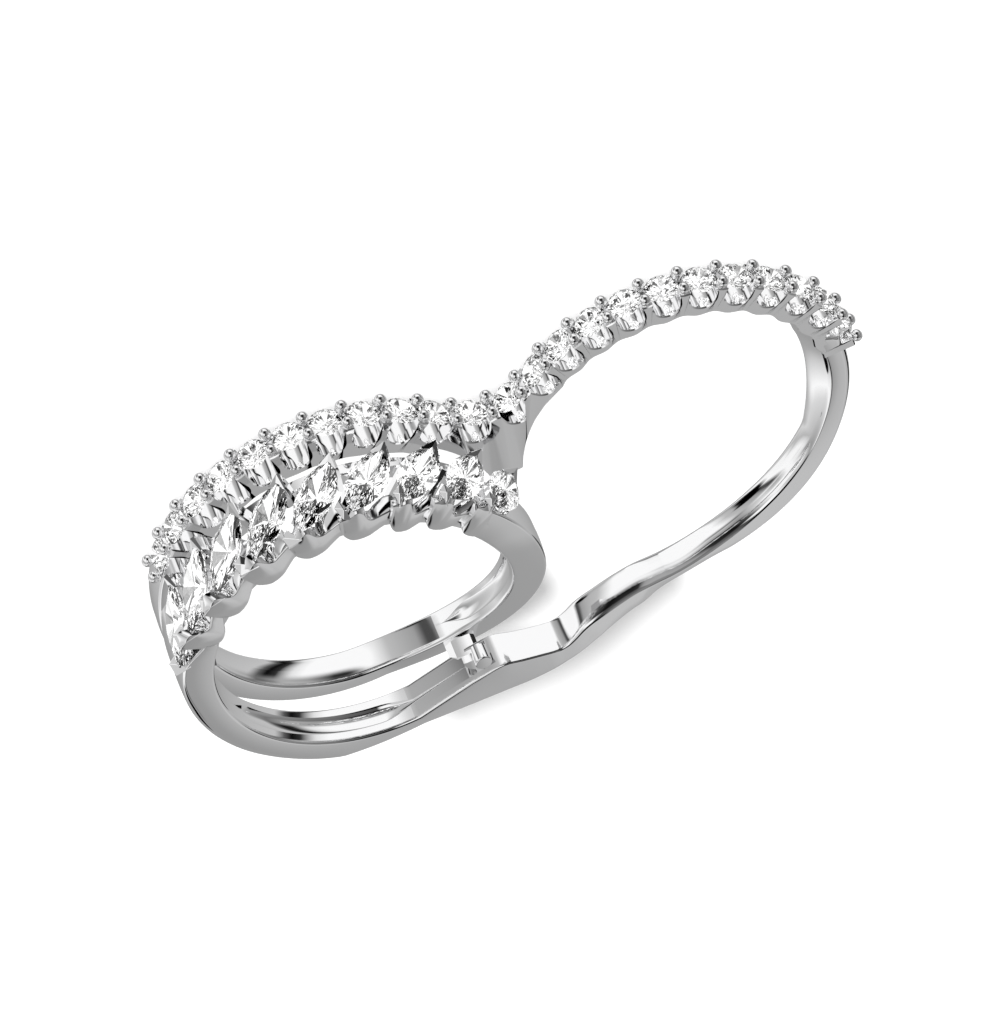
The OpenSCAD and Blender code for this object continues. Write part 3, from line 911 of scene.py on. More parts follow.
@dataclass(frozen=True)
class RoundRail:
    """The rail of the round stones: U cuts, posts, a scalloped lower edge and the V wall in the valley.

    Attributes:
        row: the line of the stones.
        cut_r: radius of the U cuts.
        top: height of the posts over the girdle line.
        bevel: bevel of every rim.
        end: how far the rail runs on past its last posts.
        arc_steps: faces round a U cut.
        depths: depth of the U cuts' centres below the girdle line, by distance along the row.
        side_shares: shares of that depth at which the U cuts' straight sides have points.
        side_sinks: how much of the saddle there is at the top of a straight side and at those points.
        cell_share: share of the row's pitch that the lower edge under a U cut takes.
        scallop_left, scallop_right: depth of the lower edge's scallops over each finger.
        lower_c: centre of the lower edge over the first finger.
        wall_low: height of the wall's foot in the valley.
        wall_left_c, wall_left_r: circle of the wall's left side.
        wall_right_c, wall_right_r: circle of the wall's right side.
        wall_ends: angles at which those circles leave the rail.
        wall_steps: points along each of them.
        wall_past: how far the wall reaches past the valley's ends, to the left and to the right.
        ridge: how far the wall's front rises to its middle.
        saddle: depth of the saddle between the two beads of a post.
        saddle_marks: shares of the rail's width and of the saddle's depth, across the rail.
    """

    row: StoneRow
    cut_r: float = 0.78
    top: float = 0.02
    bevel: float = 0.07
    end: float = 0.3
    arc_steps: int = 16
    depths: tuple = (
        (-5.0, 0.72), (0.0, 0.72), (3.6, 0.85), (7.4, 1.0), (11.2, 1.0), (15.0, 0.9), (20.0, 0.76),
        (23.0, 0.54), (28.0, 0.5), (60.0, 0.52),
    )
    side_shares: tuple = (0.35, 0.75)
    side_sinks: tuple = (1.0, 0.62, 0.3)
    cell_share: float = 0.92
    scallop_left: float = 0.06
    scallop_right: float = 0.19
    lower_c: tuple = (0.25, 0.0)
    wall_low: float = 1.6
    wall_left_c: tuple = (0.95, 0.0)
    wall_left_r: float = 8.8
    wall_right_c: tuple = (PITCH - 0.45, -0.3)
    wall_right_r: float = 8.66
    wall_ends: tuple = (44, 136)
    wall_steps: int = 14
    wall_past: tuple = (0.9, 1.0)
    ridge: float = 0.13
    saddle: float = 0.5
    saddle_marks: tuple = ((0.30, 0.0), (0.38, 0.85), (0.5, 1.0), (0.62, 0.85), (0.70, 0.0))

    def cell(self, i: int) -> tuple[list[np.ndarray], list[float], list[np.ndarray]]:
        """Upper outline of one U cut.

        Args:
            i: number of its stone, from 0.

        Returns:
            Its points in X and Y, the distances along the row that they stand over, and how each sinks in
            the saddle between the beads.
        """
        s = i * self.row.pitch()
        origin = self.row.point(s)
        outward = polar(1.0, self.row.facing(s))
        ahead = np.array([outward[1], -outward[0]])
        deep = float(np.interp(s, *zip(*self.depths)))
        half = self.row.pitch() / 2
        r = self.cut_r
        heights = [self.top] + [-deep * share for share in self.side_shares]
        local = [(-r, y) for y in heights]
        for k in range(self.arc_steps + 1):
            a = math.pi + math.pi * k / self.arc_steps
            local.append((r * math.cos(a), -deep + r * math.sin(a)))
        local += [(r, y) for y in reversed(heights)]
        points = [origin + ahead * x + outward * y for x, y in local]
        spread = np.linspace(s - half * self.cell_share, s + half * self.cell_share, len(points))
        shares = [*self.side_sinks, *[0.0] * (self.arc_steps + 1), *reversed(self.side_sinks)]
        sinks = [-outward * self.saddle * share for share in shares]
        return points, list(spread), sinks

    def lower(self, s: float) -> np.ndarray:
        """Point of the rail's lower edge under a distance along the row."""
        wave = 0.5 + 0.5 * math.cos(2 * math.pi * s / self.row.pitch())
        if s < self.row.lengths()[0]:
            return polar(FINGER_R - self.scallop_left * wave, self.row.facing(s), self.lower_c)
        return polar(FINGER_R - self.scallop_right * wave, self.row.facing(s), (PITCH, 0.0))

    def wall_points(self) -> list[np.ndarray]:
        """Lower edge through the valley: down the left circle, across the neck and up the right circle."""
        low = self.wall_low
        start, end = self.wall_ends
        left_end = math.degrees(math.asin((low - self.wall_left_c[1]) / self.wall_left_r))
        right_end = 180 - math.degrees(math.asin((low - self.wall_right_c[1]) / self.wall_right_r))
        down = np.linspace(start, left_end, self.wall_steps)
        up = np.linspace(right_end, end, self.wall_steps)
        left = [polar(self.wall_left_r, a, self.wall_left_c) for a in down]
        return left + [polar(self.wall_right_r, a, self.wall_right_c) for a in up]

    def outline_pairs(self) -> tuple[np.ndarray, np.ndarray, np.ndarray, np.ndarray]:
        """Gives the upper and lower outlines, the saddle's sinks and the wall's ridge, point by point."""
        first, middle, _ = self.row.lengths()
        pitch = self.row.pitch()
        upper, places, sinks = [], [], []
        ends = (-pitch / 2 - self.end, (self.row.count - 0.5) * pitch + self.end)
        posts = [ends[0]] + [(i + 0.5) * pitch for i in range(self.row.count - 1)] + [ends[1]]
        for i, post in enumerate(posts):
            upper.append(self.row.point(post, self.top))
            places.append(post)
            sinks.append(-self.saddle * polar(1.0, self.row.facing(post)))
            if i < self.row.count:
                points, spread, drops = self.cell(i)
                upper += points
                places += spread
                sinks += drops
        wall = self.wall_points()
        wall_from, wall_to = first - self.wall_past[0], first + middle + self.wall_past[1]
        runs = np.concatenate([[0], np.cumsum([np.linalg.norm(b - a) for a, b in zip(wall, wall[1:])])])
        lower, rises = [], []
        for s in places:
            at = (s - wall_from) / (wall_to - wall_from)
            rises.append(self.ridge * max(0.0, 1 - abs(2 * at - 1)))
            if 0 < at < 1:
                run = at * runs[-1]
                lower.append(np.array([np.interp(run, runs, [p[k] for p in wall]) for k in (0, 1)]))
            else:
                lower.append(self.lower(s))
        return np.array(upper), np.array(lower), np.array(sinks), np.array(rises)

    def plan(self) -> MeshPlan:
        """Makes the rail with a bevel along every rim."""
        upper, lower, sinks, rises = self.outline_pairs()
        ahead, below = self.ways(upper), self.ways(lower)
        inward = np.stack([ahead[:, 1], -ahead[:, 0]], axis=1)
        rise = np.stack([-below[:, 1], below[:, 0]], axis=1)
        b, w = self.bevel, self.row.width
        rings = []
        for p, q, i, r, sink, up in zip(upper, lower, inward, rise, sinks, rises):
            saddle = [(*(p + sink * k), w * at) for at, k in self.saddle_marks]
            rings.append([
                (*(p + i * b), 0.0), (*p, b), *saddle, (*p, w - b), (*(p + i * b), w),
                (*(q + r * b), w + up), (*q, w - b), (*q, b), (*(q + r * b), 0.0),
            ])
        plan = MeshPlan()
        plan.loft(rings)
        return plan

    @staticmethod
    def ways(points: np.ndarray) -> np.ndarray:
        """Directions in which a line of points runs."""
        steps = np.gradient(points, axis=0)
        return steps / (np.linalg.norm(steps, axis=1)[:, None] + TINY)


@dataclass(frozen=True)
class Swell:
    """A share that rises smoothly and falls again along a run of angles or places.

    Attributes:
        start: where it begins to rise.
        full: where it reaches 1.
        wane: where it begins to fall.
        end: where it is 0 again.
    """

    start: float
    full: float
    wane: float
    end: float

    def at(self, place: float) -> float:
        """Gives the share at a place."""
        return fade(place, self.start, self.full) * fade(place, self.end, self.wane)


@dataclass
class Station:
    """One cross-section of a band.

    Attributes:
        inner: point of the inner face, in X and Y.
        outer: point of the outer face, in X and Y.
        front: height of the front edge.
        back: height of the back edge.
        groove: half width of the groove in the inner face.
        groove_deep: depth of the groove.
        bevel: bevels of the outer front edge, across the thickness and along the width.
        dome: rise of the inner face's middle.
        edge: rounding of the inner face's edges.
        lean: how far the inner face's back edge stands in from its front edge.
        roll: how much longer the inner edges' rounding is along the width than across the thickness.
    """

    inner: np.ndarray
    outer: np.ndarray
    front: float
    back: float
    groove: float = 0.0
    groove_deep: float = 0.0
    bevel: tuple = (0.16, 0.2)
    dome: float = 0.09
    edge: float = 0.2
    lean: float = 0.0
    roll: float = 1.0


@dataclass
class Band:
    """A band with a rounded rectangular section.

    Attributes:
        stations: its cross-sections, in order.
        corner_steps: faces round each corner.
        face_steps: points along each flat stretch.
        groove_steps: faces across the groove.
        outer_dome: rise of the outer face's middle.
        back_round: rounding of the outer back edge.
        round_share: largest share of the thickness or width that an inner edge's rounding takes.
        bevel_share: largest shares of the thickness and width that the outer front bevel takes.
        groove_least: half width that stands for no groove.
        groove_margin: least flat strip beside a groove.
    """

    stations: list
    corner_steps: int = 6
    face_steps: int = 6
    groove_steps: int = 12
    outer_dome: float = 0.04
    back_round: float = 0.15
    round_share: float = 0.4
    bevel_share: tuple = (0.6, 0.7)
    groove_least: float = 0.01
    groove_margin: float = 0.05

    def section(self, at: Station) -> list[tuple[float, float, float]]:
        """Works out one section.

        Args:
            at: its sizes.

        Returns:
            The points round it, from the inner face's back edge on.
        """
        across = at.outer - at.inner
        thick = float(np.linalg.norm(across))
        across = across / thick
        wide = at.front - at.back
        e = min(at.edge, thick * self.round_share, wide * self.round_share)
        f = min(e * at.roll, wide * self.round_share)
        bt, bw = min(at.bevel[0], thick * self.bevel_share[0]), min(at.bevel[1], wide * self.bevel_share[1])
        r, d = self.back_round, at.dome
        outline = self.inner_face(at, wide / 2 - f)
        outline += self.corner((e + d, at.front - f), (e, f), 180, 90)
        outline += self.corner((thick - bt, at.front - bw), (bt, bw), 90, 0)
        for t in np.linspace(0, 1, self.face_steps)[1:-1]:
            w = (at.front - bw) * (1 - t) + (at.back + f + r) * t
            outline.append((thick + self.outer_dome * math.sin(math.pi * t), w))
        outline += self.corner((thick - r, at.back + r), (r, r), 0, -90)
        outline += self.corner((e + d, at.back + f), (e, f), -90, -180)
        points = []
        for p, w in outline:
            lean = at.lean * (at.front - w) / wide * (1 - p / thick)
            points.append((*(at.inner + across * (p - lean)), w))
        return points

    def inner_face(self, at: Station, half: float) -> list[tuple[float, float]]:
        """Works out the inner face of a section, with its groove.

        Args:
            at: the section's sizes.
            half: half of the face's width.

        Returns:
            Depths and heights of the points across it.
        """
        middle = (at.front + at.back) / 2
        groove = max(self.groove_least, min(at.groove, half - self.groove_margin))
        levels = np.concatenate([
            np.linspace(-half, -groove, self.face_steps),
            groove * np.linspace(-1, 1, self.groove_steps + 1)[1:-1],
            np.linspace(groove, half, self.face_steps),
        ])
        outline = []
        for w in levels:
            deep = 0.0
            if abs(w) < groove and at.groove_deep > 0:
                deep = at.groove_deep * math.sqrt(max(0.0, 1 - (w / groove) ** 2))
            outline.append((deep + at.dome * (w / half) ** 2, middle + w))
        return outline

    def corner(
        self, centre: tuple[float, float], radii: tuple[float, float], first: float, last: float,
    ) -> list[tuple[float, float]]:
        """Points round a corner of a section, between two angles."""
        shares = [k / self.corner_steps for k in range(self.corner_steps + 1)]
        turns = [math.radians(first + (last - first) * share) for share in shares]
        return [(centre[0] + radii[0] * math.cos(a), centre[1] + radii[1] * math.sin(a)) for a in turns]

    def plan(self) -> MeshPlan:
        """Makes the band along its stations."""
        plan = MeshPlan()
        plan.loft([self.section(s) for s in self.stations])
        return plan


def smooth_stations(controls: list[Station], gap: float) -> list[Station]:
    """Fills in stations between the given ones along smooth curves.

    Args:
        controls: stations that the curves pass through.
        gap: distance between the new stations, in millimetres.

    Returns:
        The stations, from the first to the last control.
    """
    runs = [0.0]
    for one, two in zip(controls, controls[1:]):
        runs.append(runs[-1] + float(np.linalg.norm((two.inner + two.outer - one.inner - one.outer) / 2)))
    rows = [
        [*c.inner, *c.outer, c.front, c.back, *c.bevel, c.edge, c.dome, c.lean, c.roll] for c in controls
    ]
    places = np.linspace(0, runs[-1], max(2, round(runs[-1] / gap) + 1))
    found = []
    for row in spline(runs, rows, places):
        front, back, across, along, edge, dome, lean, roll = (float(value) for value in row[4:])
        found.append(Station(
            row[0:2], row[2:4], front, back, bevel=(across, along), edge=edge, dome=dome, lean=lean,
            roll=roll,
        ))
    return found


@dataclass
class FrontShank:
    """The front shank: round the first finger, over the bridge, under the second finger to the round row.

    Attributes:
        outer_c, outer_r: circle of the outer face at the left.
        palm_c, palm_r: circle of the outer face under the finger.
        start_r: outer radius at the left end, and its growth in each degree.
        inset: how far the outer face lies inside its circles.
        width: width on the bridge.
        left_span: angles of the left part's first and last stations, and the step between them.
        left_lows: height of the left part's back edge, by angle.
        left_groove: where the inner face has its groove.
        groove: half width and depth of the groove.
        left_bevel: where the outer front edge is more rounded.
        edge_bevel: bevels of the outer front edge, across and along the band.
        left_bevel_growth: how much larger they get under the first finger.
        left_edge: rounding of the left part's inner edges.
        left_dome: rise of the left part's inner face, its fall and the angles over which it falls.
        bridge_rows: inner point, outer point, drop of the front edge, loss of width, and edge rounding.
        bridge_dome: rise of the bridge's inner face.
        hump: X from which the inner edges' rounding grows, the length over which it does, and by how much.
        corner: number of the bridge's row at which its flat stretch ends.
        right_span: angles of the right part's first and last stations, and the step between them.
        right_drops: drop of the right part's front edge, by angle.
        right_thick: thickness of the right part, by angle.
        right_narrow: loss of the right part's width, its growth and the angles over which it grows.
        side_span: angles over which the right part's edges turn crisper and its outer bevel wider.
        right_edge: rounding of its inner edges, and how much of it goes.
        right_roll: how much longer that rounding is along the width, and how much of that goes.
        right_bevel_growth: how much larger its outer bevels get.
        right_dome: rise of the right part's inner face.
        lean, lean_r: how far the inner face leans in at the right, and the radius of its leaning circle.
        pad_span: angles and step of the thin leaning pad under the round row's right end.
        pad: thickness of that pad.
        pad_high: height of its front edge.
        pad_edge: rounding of its inner edges.
        gap: distance between smoothed stations.
        spare: stations of the left part that the bridge replaces.
        bridge_before, bridge_after: stations by which the bridge's piece reaches past its flat stretch.
    """

    outer_c: tuple = (-0.55, 0.0)
    outer_r: float = 10.0
    palm_c: tuple = (-1.54, 13.87)
    palm_r: float = 23.4
    start_r: tuple = (9.62, 0.1)
    inset: float = 0.02
    width: float = 2.5
    left_span: tuple = (150, 290.1, 2.0)
    left_lows: tuple = ((150, 2.9), (157.6, 2.9), (170.6, 3.4), (186.2, 4.5), (199, 4.9), (215, 4.9))
    left_groove: Swell = Swell(196, 208, 262, 282)
    groove: tuple = (0.62, 0.28)
    left_bevel: Swell = Swell(165, 185, 217, 262)
    edge_bevel: tuple = (0.16, 0.2)
    left_bevel_growth: tuple = (0.42, 0.5)
    left_edge: float = 0.2
    left_dome: tuple = (0.04, 0.03, 240, 260)
    bridge_rows: tuple = (
        ((4.25, -7.54), (4.3, -9.43), 0.0, 0.0, 0.2),
        ((5.0, -7.37), (5.2, -9.44), 0.0, 0.05, 0.16),
        ((6.2, -7.13), (6.2, -9.45), 0.0, 0.15, 0.12),
        ((7.3, -7.4), (7.2, -9.47), 0.0, 0.25, 0.12),
        ((8.4, -7.667), (8.3, -9.40), 0.01, 0.3, 0.12),
        ((9.2, -7.862), (9.15, -9.28), 0.03, 0.3, 0.12),
        ((9.48, -7.93), (9.55, -9.2), 0.06, 0.3, 0.14),
        ((9.95, -7.83), (10.1, -9.1), 0.1, 0.3, 0.2),
        ((10.45, -7.57), (10.75, -8.93), 0.17, 0.32, 0.26),
        ((11.0, -7.24), (11.3, -8.78), 0.27, 0.34, 0.3),
        ((11.6, -7.04), (11.9, -8.62), 0.38, 0.36, 0.32),
        ((12.3, -6.94), (12.4, -8.51), 0.52, 0.38, 0.34),
        ((13.2, -6.9), (13.2, -8.41), 0.76, 0.42, 0.34),
        ((14.1, -6.95), (14.0, -8.39), 1.02, 0.46, 0.34),
        ((14.9, -7.03), (14.75, -8.41), 1.22, 0.48, 0.34),
    )
    bridge_dome: float = 0.02
    hump: tuple = (9.5, 3.0, 0.9)
    corner: int = 6
    right_span: tuple = (-118.4, 9.1, 3.6)
    right_drops: tuple = (
        (-124, 1.38), (-110, 2.22), (-95, 3.14), (-80, 3.85), (-65, 4.41), (-50, 4.9), (-35, 5.28),
        (-20, 5.47), (9, 5.5),
    )
    right_thick: tuple = (
        (-124, 1.42), (-120, 1.12), (-116.5, 0.87), (-111, 0.72), (-103.3, 0.74), (-95.4, 0.89),
        (-89.7, 1.09), (-83.9, 1.21), (0, 1.31),
    )
    right_narrow: tuple = (0.5, 0.1, -126, -86)
    side_span: tuple = (-60, -20)
    right_edge: tuple = (0.34, 0.1)
    right_roll: tuple = (1.9, 0.7)
    right_bevel_growth: tuple = (0.22, 0.24)
    right_dome: float = 0.03
    lean: float = 1.05
    lean_r: float = 14.0
    pad_span: tuple = (12.6, 48, 3.6)
    pad: float = 0.22
    pad_high: float = 1.88
    pad_edge: float = 0.1
    gap: float = 0.25
    spare: int = 7
    bridge_before: int = 2
    bridge_after: int = 27

    def left_part(self) -> list[Station]:
        """Stations round the first finger."""
        found = []
        half, deep = self.groove
        dome, fall, *falls = self.left_dome
        start_r, growth = self.start_r
        for a in np.arange(*self.left_span):
            swell, side = self.left_groove.at(a), self.left_bevel.at(a)
            low = curve(self.left_lows, min(a, self.left_lows[-1][0]))
            outer = min(reach(self.outer_c, self.outer_r, a), reach(self.palm_c, self.palm_r, a))
            outer = min(outer - self.inset, start_r + growth * max(0.0, a - self.left_span[0] - 1))
            found.append(Station(
                polar(FINGER_R, a), polar(outer, a), FRONT_Z, low, groove=half * swell,
                groove_deep=deep * swell, bevel=self.bevel(self.left_bevel_growth, side), edge=self.left_edge,
                dome=dome - fall * fade(a, *falls),
            ))
        return found

    def bevel(self, growth: tuple[float, float], share: float) -> tuple[float, float]:
        """Bevels of the outer front edge with a share of a growth."""
        return tuple(start + more * share for start, more in zip(self.edge_bevel, growth))

    def bridge_part(self) -> list[Station]:
        """Stations over the bridge and the hump, up to the second finger's hole."""
        found = []
        start, length, growth = self.hump
        for inner, outer, drop, narrow, edge in self.bridge_rows:
            front = FRONT_Z - drop
            found.append(Station(
                np.array(inner), np.array(outer), front, front - self.width + narrow, edge=edge,
                dome=self.bridge_dome, roll=1.0 + growth * fade(inner[0], start, start + length),
            ))
        return found

    def right_part(self) -> list[Station]:
        """Stations under and up the second finger, and the leaning pad on from there."""
        found = []
        narrow, growth, *grows = self.right_narrow
        edge, roll = self.right_edge, self.right_roll
        for a in np.arange(*self.right_span):
            side = fade(a, *self.side_span)
            front = FRONT_Z - curve(self.right_drops, a)
            back = max(0.0, front - self.width + (narrow + growth * fade(a, *grows)))
            inner, outer = self.second_loop(a, curve(self.right_thick, a))
            found.append(Station(
                inner, outer, front, back, edge=edge[0] - edge[1] * side,
                bevel=self.bevel(self.right_bevel_growth, side), lean=self.lean_at(a),
                roll=roll[0] - roll[1] * side, dome=self.right_dome,
            ))
        for a in np.arange(*self.pad_span):
            inner, outer = self.second_loop(a, self.pad)
            found.append(Station(
                inner, outer, self.pad_high, 0.0, edge=self.pad_edge, dome=self.bridge_dome,
                lean=self.lean_at(a),
            ))
        return found

    @staticmethod
    def second_loop(a: float, thick: float) -> tuple[np.ndarray, np.ndarray]:
        """Points of the inner and outer face at an angle round the second finger."""
        return polar(FINGER_R, a, (PITCH, 0)), polar(FINGER_R + thick, a, (PITCH, 0))

    def lean_at(self, a: float) -> float:
        """How far the second loop's inner face leans in at an angle."""
        return max(0.0, FINGER_R - reach((FINGER_R - self.lean_r - self.lean, 0.0), self.lean_r, a))

    def plans(self) -> list[MeshPlan]:
        """Makes the front shank: its left part, the bridge with the hump, and its right part."""
        bridge = self.bridge_part()
        left = self.left_part()[:-self.spare]
        middle = smooth_stations(bridge[:self.corner + 1], self.gap)
        right = smooth_stations(bridge[self.corner:] + self.right_part(), self.gap)[1:]
        first, last = len(left) - self.bridge_before, len(left) + len(middle) + self.bridge_after
        return split_band(left + middle + right, (first, last))


def split_band(stations: list[Station], splits: Sequence[int]) -> list[MeshPlan]:
    """Makes a band in several lengths.

    Args:
        stations: its cross-sections.
        splits: numbers of the stations at which a new length starts.

    Returns:
        The plan of each length.
    """
    ends = (0, *splits, len(stations) - 1)
    return [Band(stations[start:end + 1]).plan() for start, end in zip(ends, ends[1:])]


@dataclass
class BackShank:
    """The back shank: from the left end of the round row under the first finger and up between the fingers.

    Attributes:
        left_c, left_r: circle of the outer face at the left.
        right_c, right_r: circle of the outer face at the right.
        drop: how far its front edge lies behind the ring's front face, under the finger.
        width: width under the finger.
        wide_end: width at its upper end.
        span: angles of its first and last stations, and the step between them.
        low_shares: share of the full height over the table that its back edge has, by angle.
        rise: angles between which it rises to the front face.
        sink: how far its upper end lies behind the front face, and the angles over which it sinks.
        groove_span: where the inner face has its groove.
        groove: half width and depth of the groove.
        edge: rounding of the inner edges.
        dome: rise of the inner face, its fall and the angles over which it falls.
        splits: numbers of the stations at which a new length starts.
    """

    left_c: tuple = (-0.7, 0.1)
    left_r: float = 9.7
    right_c: tuple = (0.8, 0.3)
    right_r: float = 9.9
    drop: float = 4.3
    width: float = 2.1
    wide_end: float = 2.5
    span: tuple = (150, 394.1, 2.0)
    low_shares: tuple = (
        (147, 0.0), (154.2, 0.04), (167.4, 0.4), (180, 0.75), (192.6, 0.93), (206, 1.0), (230, 1.0),
    )
    rise: tuple = (270, 385)
    sink: tuple = (0.03, 360, 375)
    groove_span: Swell = Swell(296, 310, 348, 362)
    groove: tuple = (0.6, 0.28)
    edge: float = 0.24
    dome: tuple = (0.1, 0.08, 255, 270)
    splits: tuple = (72, 93)

    def edges(self, a: float) -> tuple[float, float]:
        """Finds the edges.

        Args:
            a: an angle.

        Returns:
            Heights of the front and back edges there.
        """
        if a < self.rise[0]:
            low = FRONT_Z - self.drop - self.width
            back = low * curve(self.low_shares, min(a, self.low_shares[-1][0]))
            return back + self.width, back
        deepest, *sinks = self.sink
        drop = self.drop * (1 - fade(a, *self.rise)) + deepest * fade(a, *sinks)
        front = FRONT_Z - drop
        return front, front - self.width - (self.wide_end - self.width) * (1 - drop / self.drop)

    def plans(self) -> list[MeshPlan]:
        """Makes the back shank: its low part, the part that rises between the fingers and its upper end."""
        found = []
        half, deep = self.groove
        dome, fall, *falls = self.dome
        for a in np.arange(*self.span):
            outer = max(reach(self.left_c, self.left_r, a), reach(self.right_c, self.right_r, a))
            front, back = self.edges(a)
            swell = self.groove_span.at(a)
            found.append(Station(
                polar(FINGER_R, a), polar(outer, a), front, back, groove=half * swell,
                groove_deep=deep * swell, edge=self.edge, dome=dome - fall * fade(a, *falls),
            ))
        return split_band(found, self.splits)


@dataclass
class Joint:
    """Where the back shank's lug meets the front shank: the lug, its pin and the round notch for it.

    Attributes:
        lug_low, lug_high: lowest and highest corners of the lug's block.
        lug_foot: Y and height at which the lug's front begins over its foot.
        lug_step: height of the slope from the foot to the front.
        lug_cut: how far the cut upper edge reaches in and down.
        lug_left, lug_right: distance from each end, drop of the top and pull of the front.
        pin_c, pin_r: axis and radius of the pin.
        pin_foot, pin_top: heights of its ends.
        pin_edge: rounding of its rim.
        notch_c, notch_r: axis and radius of the notch.
        notch_z: heights of its ends.
        turns: faces round the pin and the notch.
        rim_steps: points round the pin's rim.
    """

    lug_low: tuple = (3.6, -8.6, 3.0)
    lug_high: tuple = (5.35, -7.5, 5.8)
    lug_foot: tuple = (-8.15, 4.15)
    lug_step: float = 0.2
    lug_cut: tuple = (0.26, 0.32)
    lug_left: tuple = ((0.0, 0.55, 0.3), (0.4, 0.12, 0.05), (0.75, 0.0, 0.0))
    lug_right: tuple = ((-0.5, 0.0, 0.0), (-0.22, 0.06, 0.02), (0.0, 0.35, 0.2))
    pin_c: tuple = (5.27, -7.75)
    pin_r: float = 0.5
    pin_foot: float = 5.2
    pin_top: float = 6.3
    pin_edge: float = 0.09
    notch_c: tuple = (5.15, -7.75)
    notch_r: float = 0.95
    notch_z: tuple = (5.25, 6.95)
    turns: int = 48
    rim_steps: int = 6

    def turned(self, outline: Sequence, centre: tuple[float, float]) -> MeshPlan:
        """Turns an outline about an upright axis.

        Args:
            outline: radii and heights.
            centre: place of the axis, in X and Y.

        Returns:
            The points and faces.
        """
        plan = MeshPlan()
        around = np.linspace(0, 2 * math.pi, self.turns, endpoint=False)
        x, y = centre
        plan.loft([[(x + r * math.cos(a), y + r * math.sin(a), z) for a in around] for r, z in outline])
        return plan

    def notch_plan(self) -> MeshPlan:
        """The space of the notch."""
        return self.turned([(self.notch_r, z) for z in self.notch_z], self.notch_c)

    def pin_plan(self) -> MeshPlan:
        """The pin, a round post with a softened rim."""
        r, e, top = self.pin_r, self.pin_edge, self.pin_top
        rim = np.radians(np.linspace(0, 90, self.rim_steps))
        outline = [(r, self.pin_foot)] + [(r - e + e * math.cos(a), top - e + e * math.sin(a)) for a in rim]
        return self.turned(outline, self.pin_c)

    def lug_plan(self) -> MeshPlan:
        """The faceted lug: a block with its upper edges cut, lower towards its ends."""
        (x0, y0, z0), (x1, y1, z1) = self.lug_low, self.lug_high
        foot_y, foot_z = self.lug_foot
        cut_in, cut_down = self.lug_cut
        plan = MeshPlan()
        rings = []
        steps = [(x0 + off, drop, pull) for off, drop, pull in self.lug_left]
        steps += [(x1 + off, drop, pull) for off, drop, pull in self.lug_right]
        for x, drop, pull in steps:
            high, out = z1 - drop, y1 - pull
            rings.append([
                (x, y0, z0), (x, foot_y, z0), (x, foot_y, foot_z - self.lug_step), (x, out, foot_z),
                (x, out, high - cut_down), (x, out - cut_in, high), (x, y0, high),
            ])
        plan.loft(rings)
        return plan


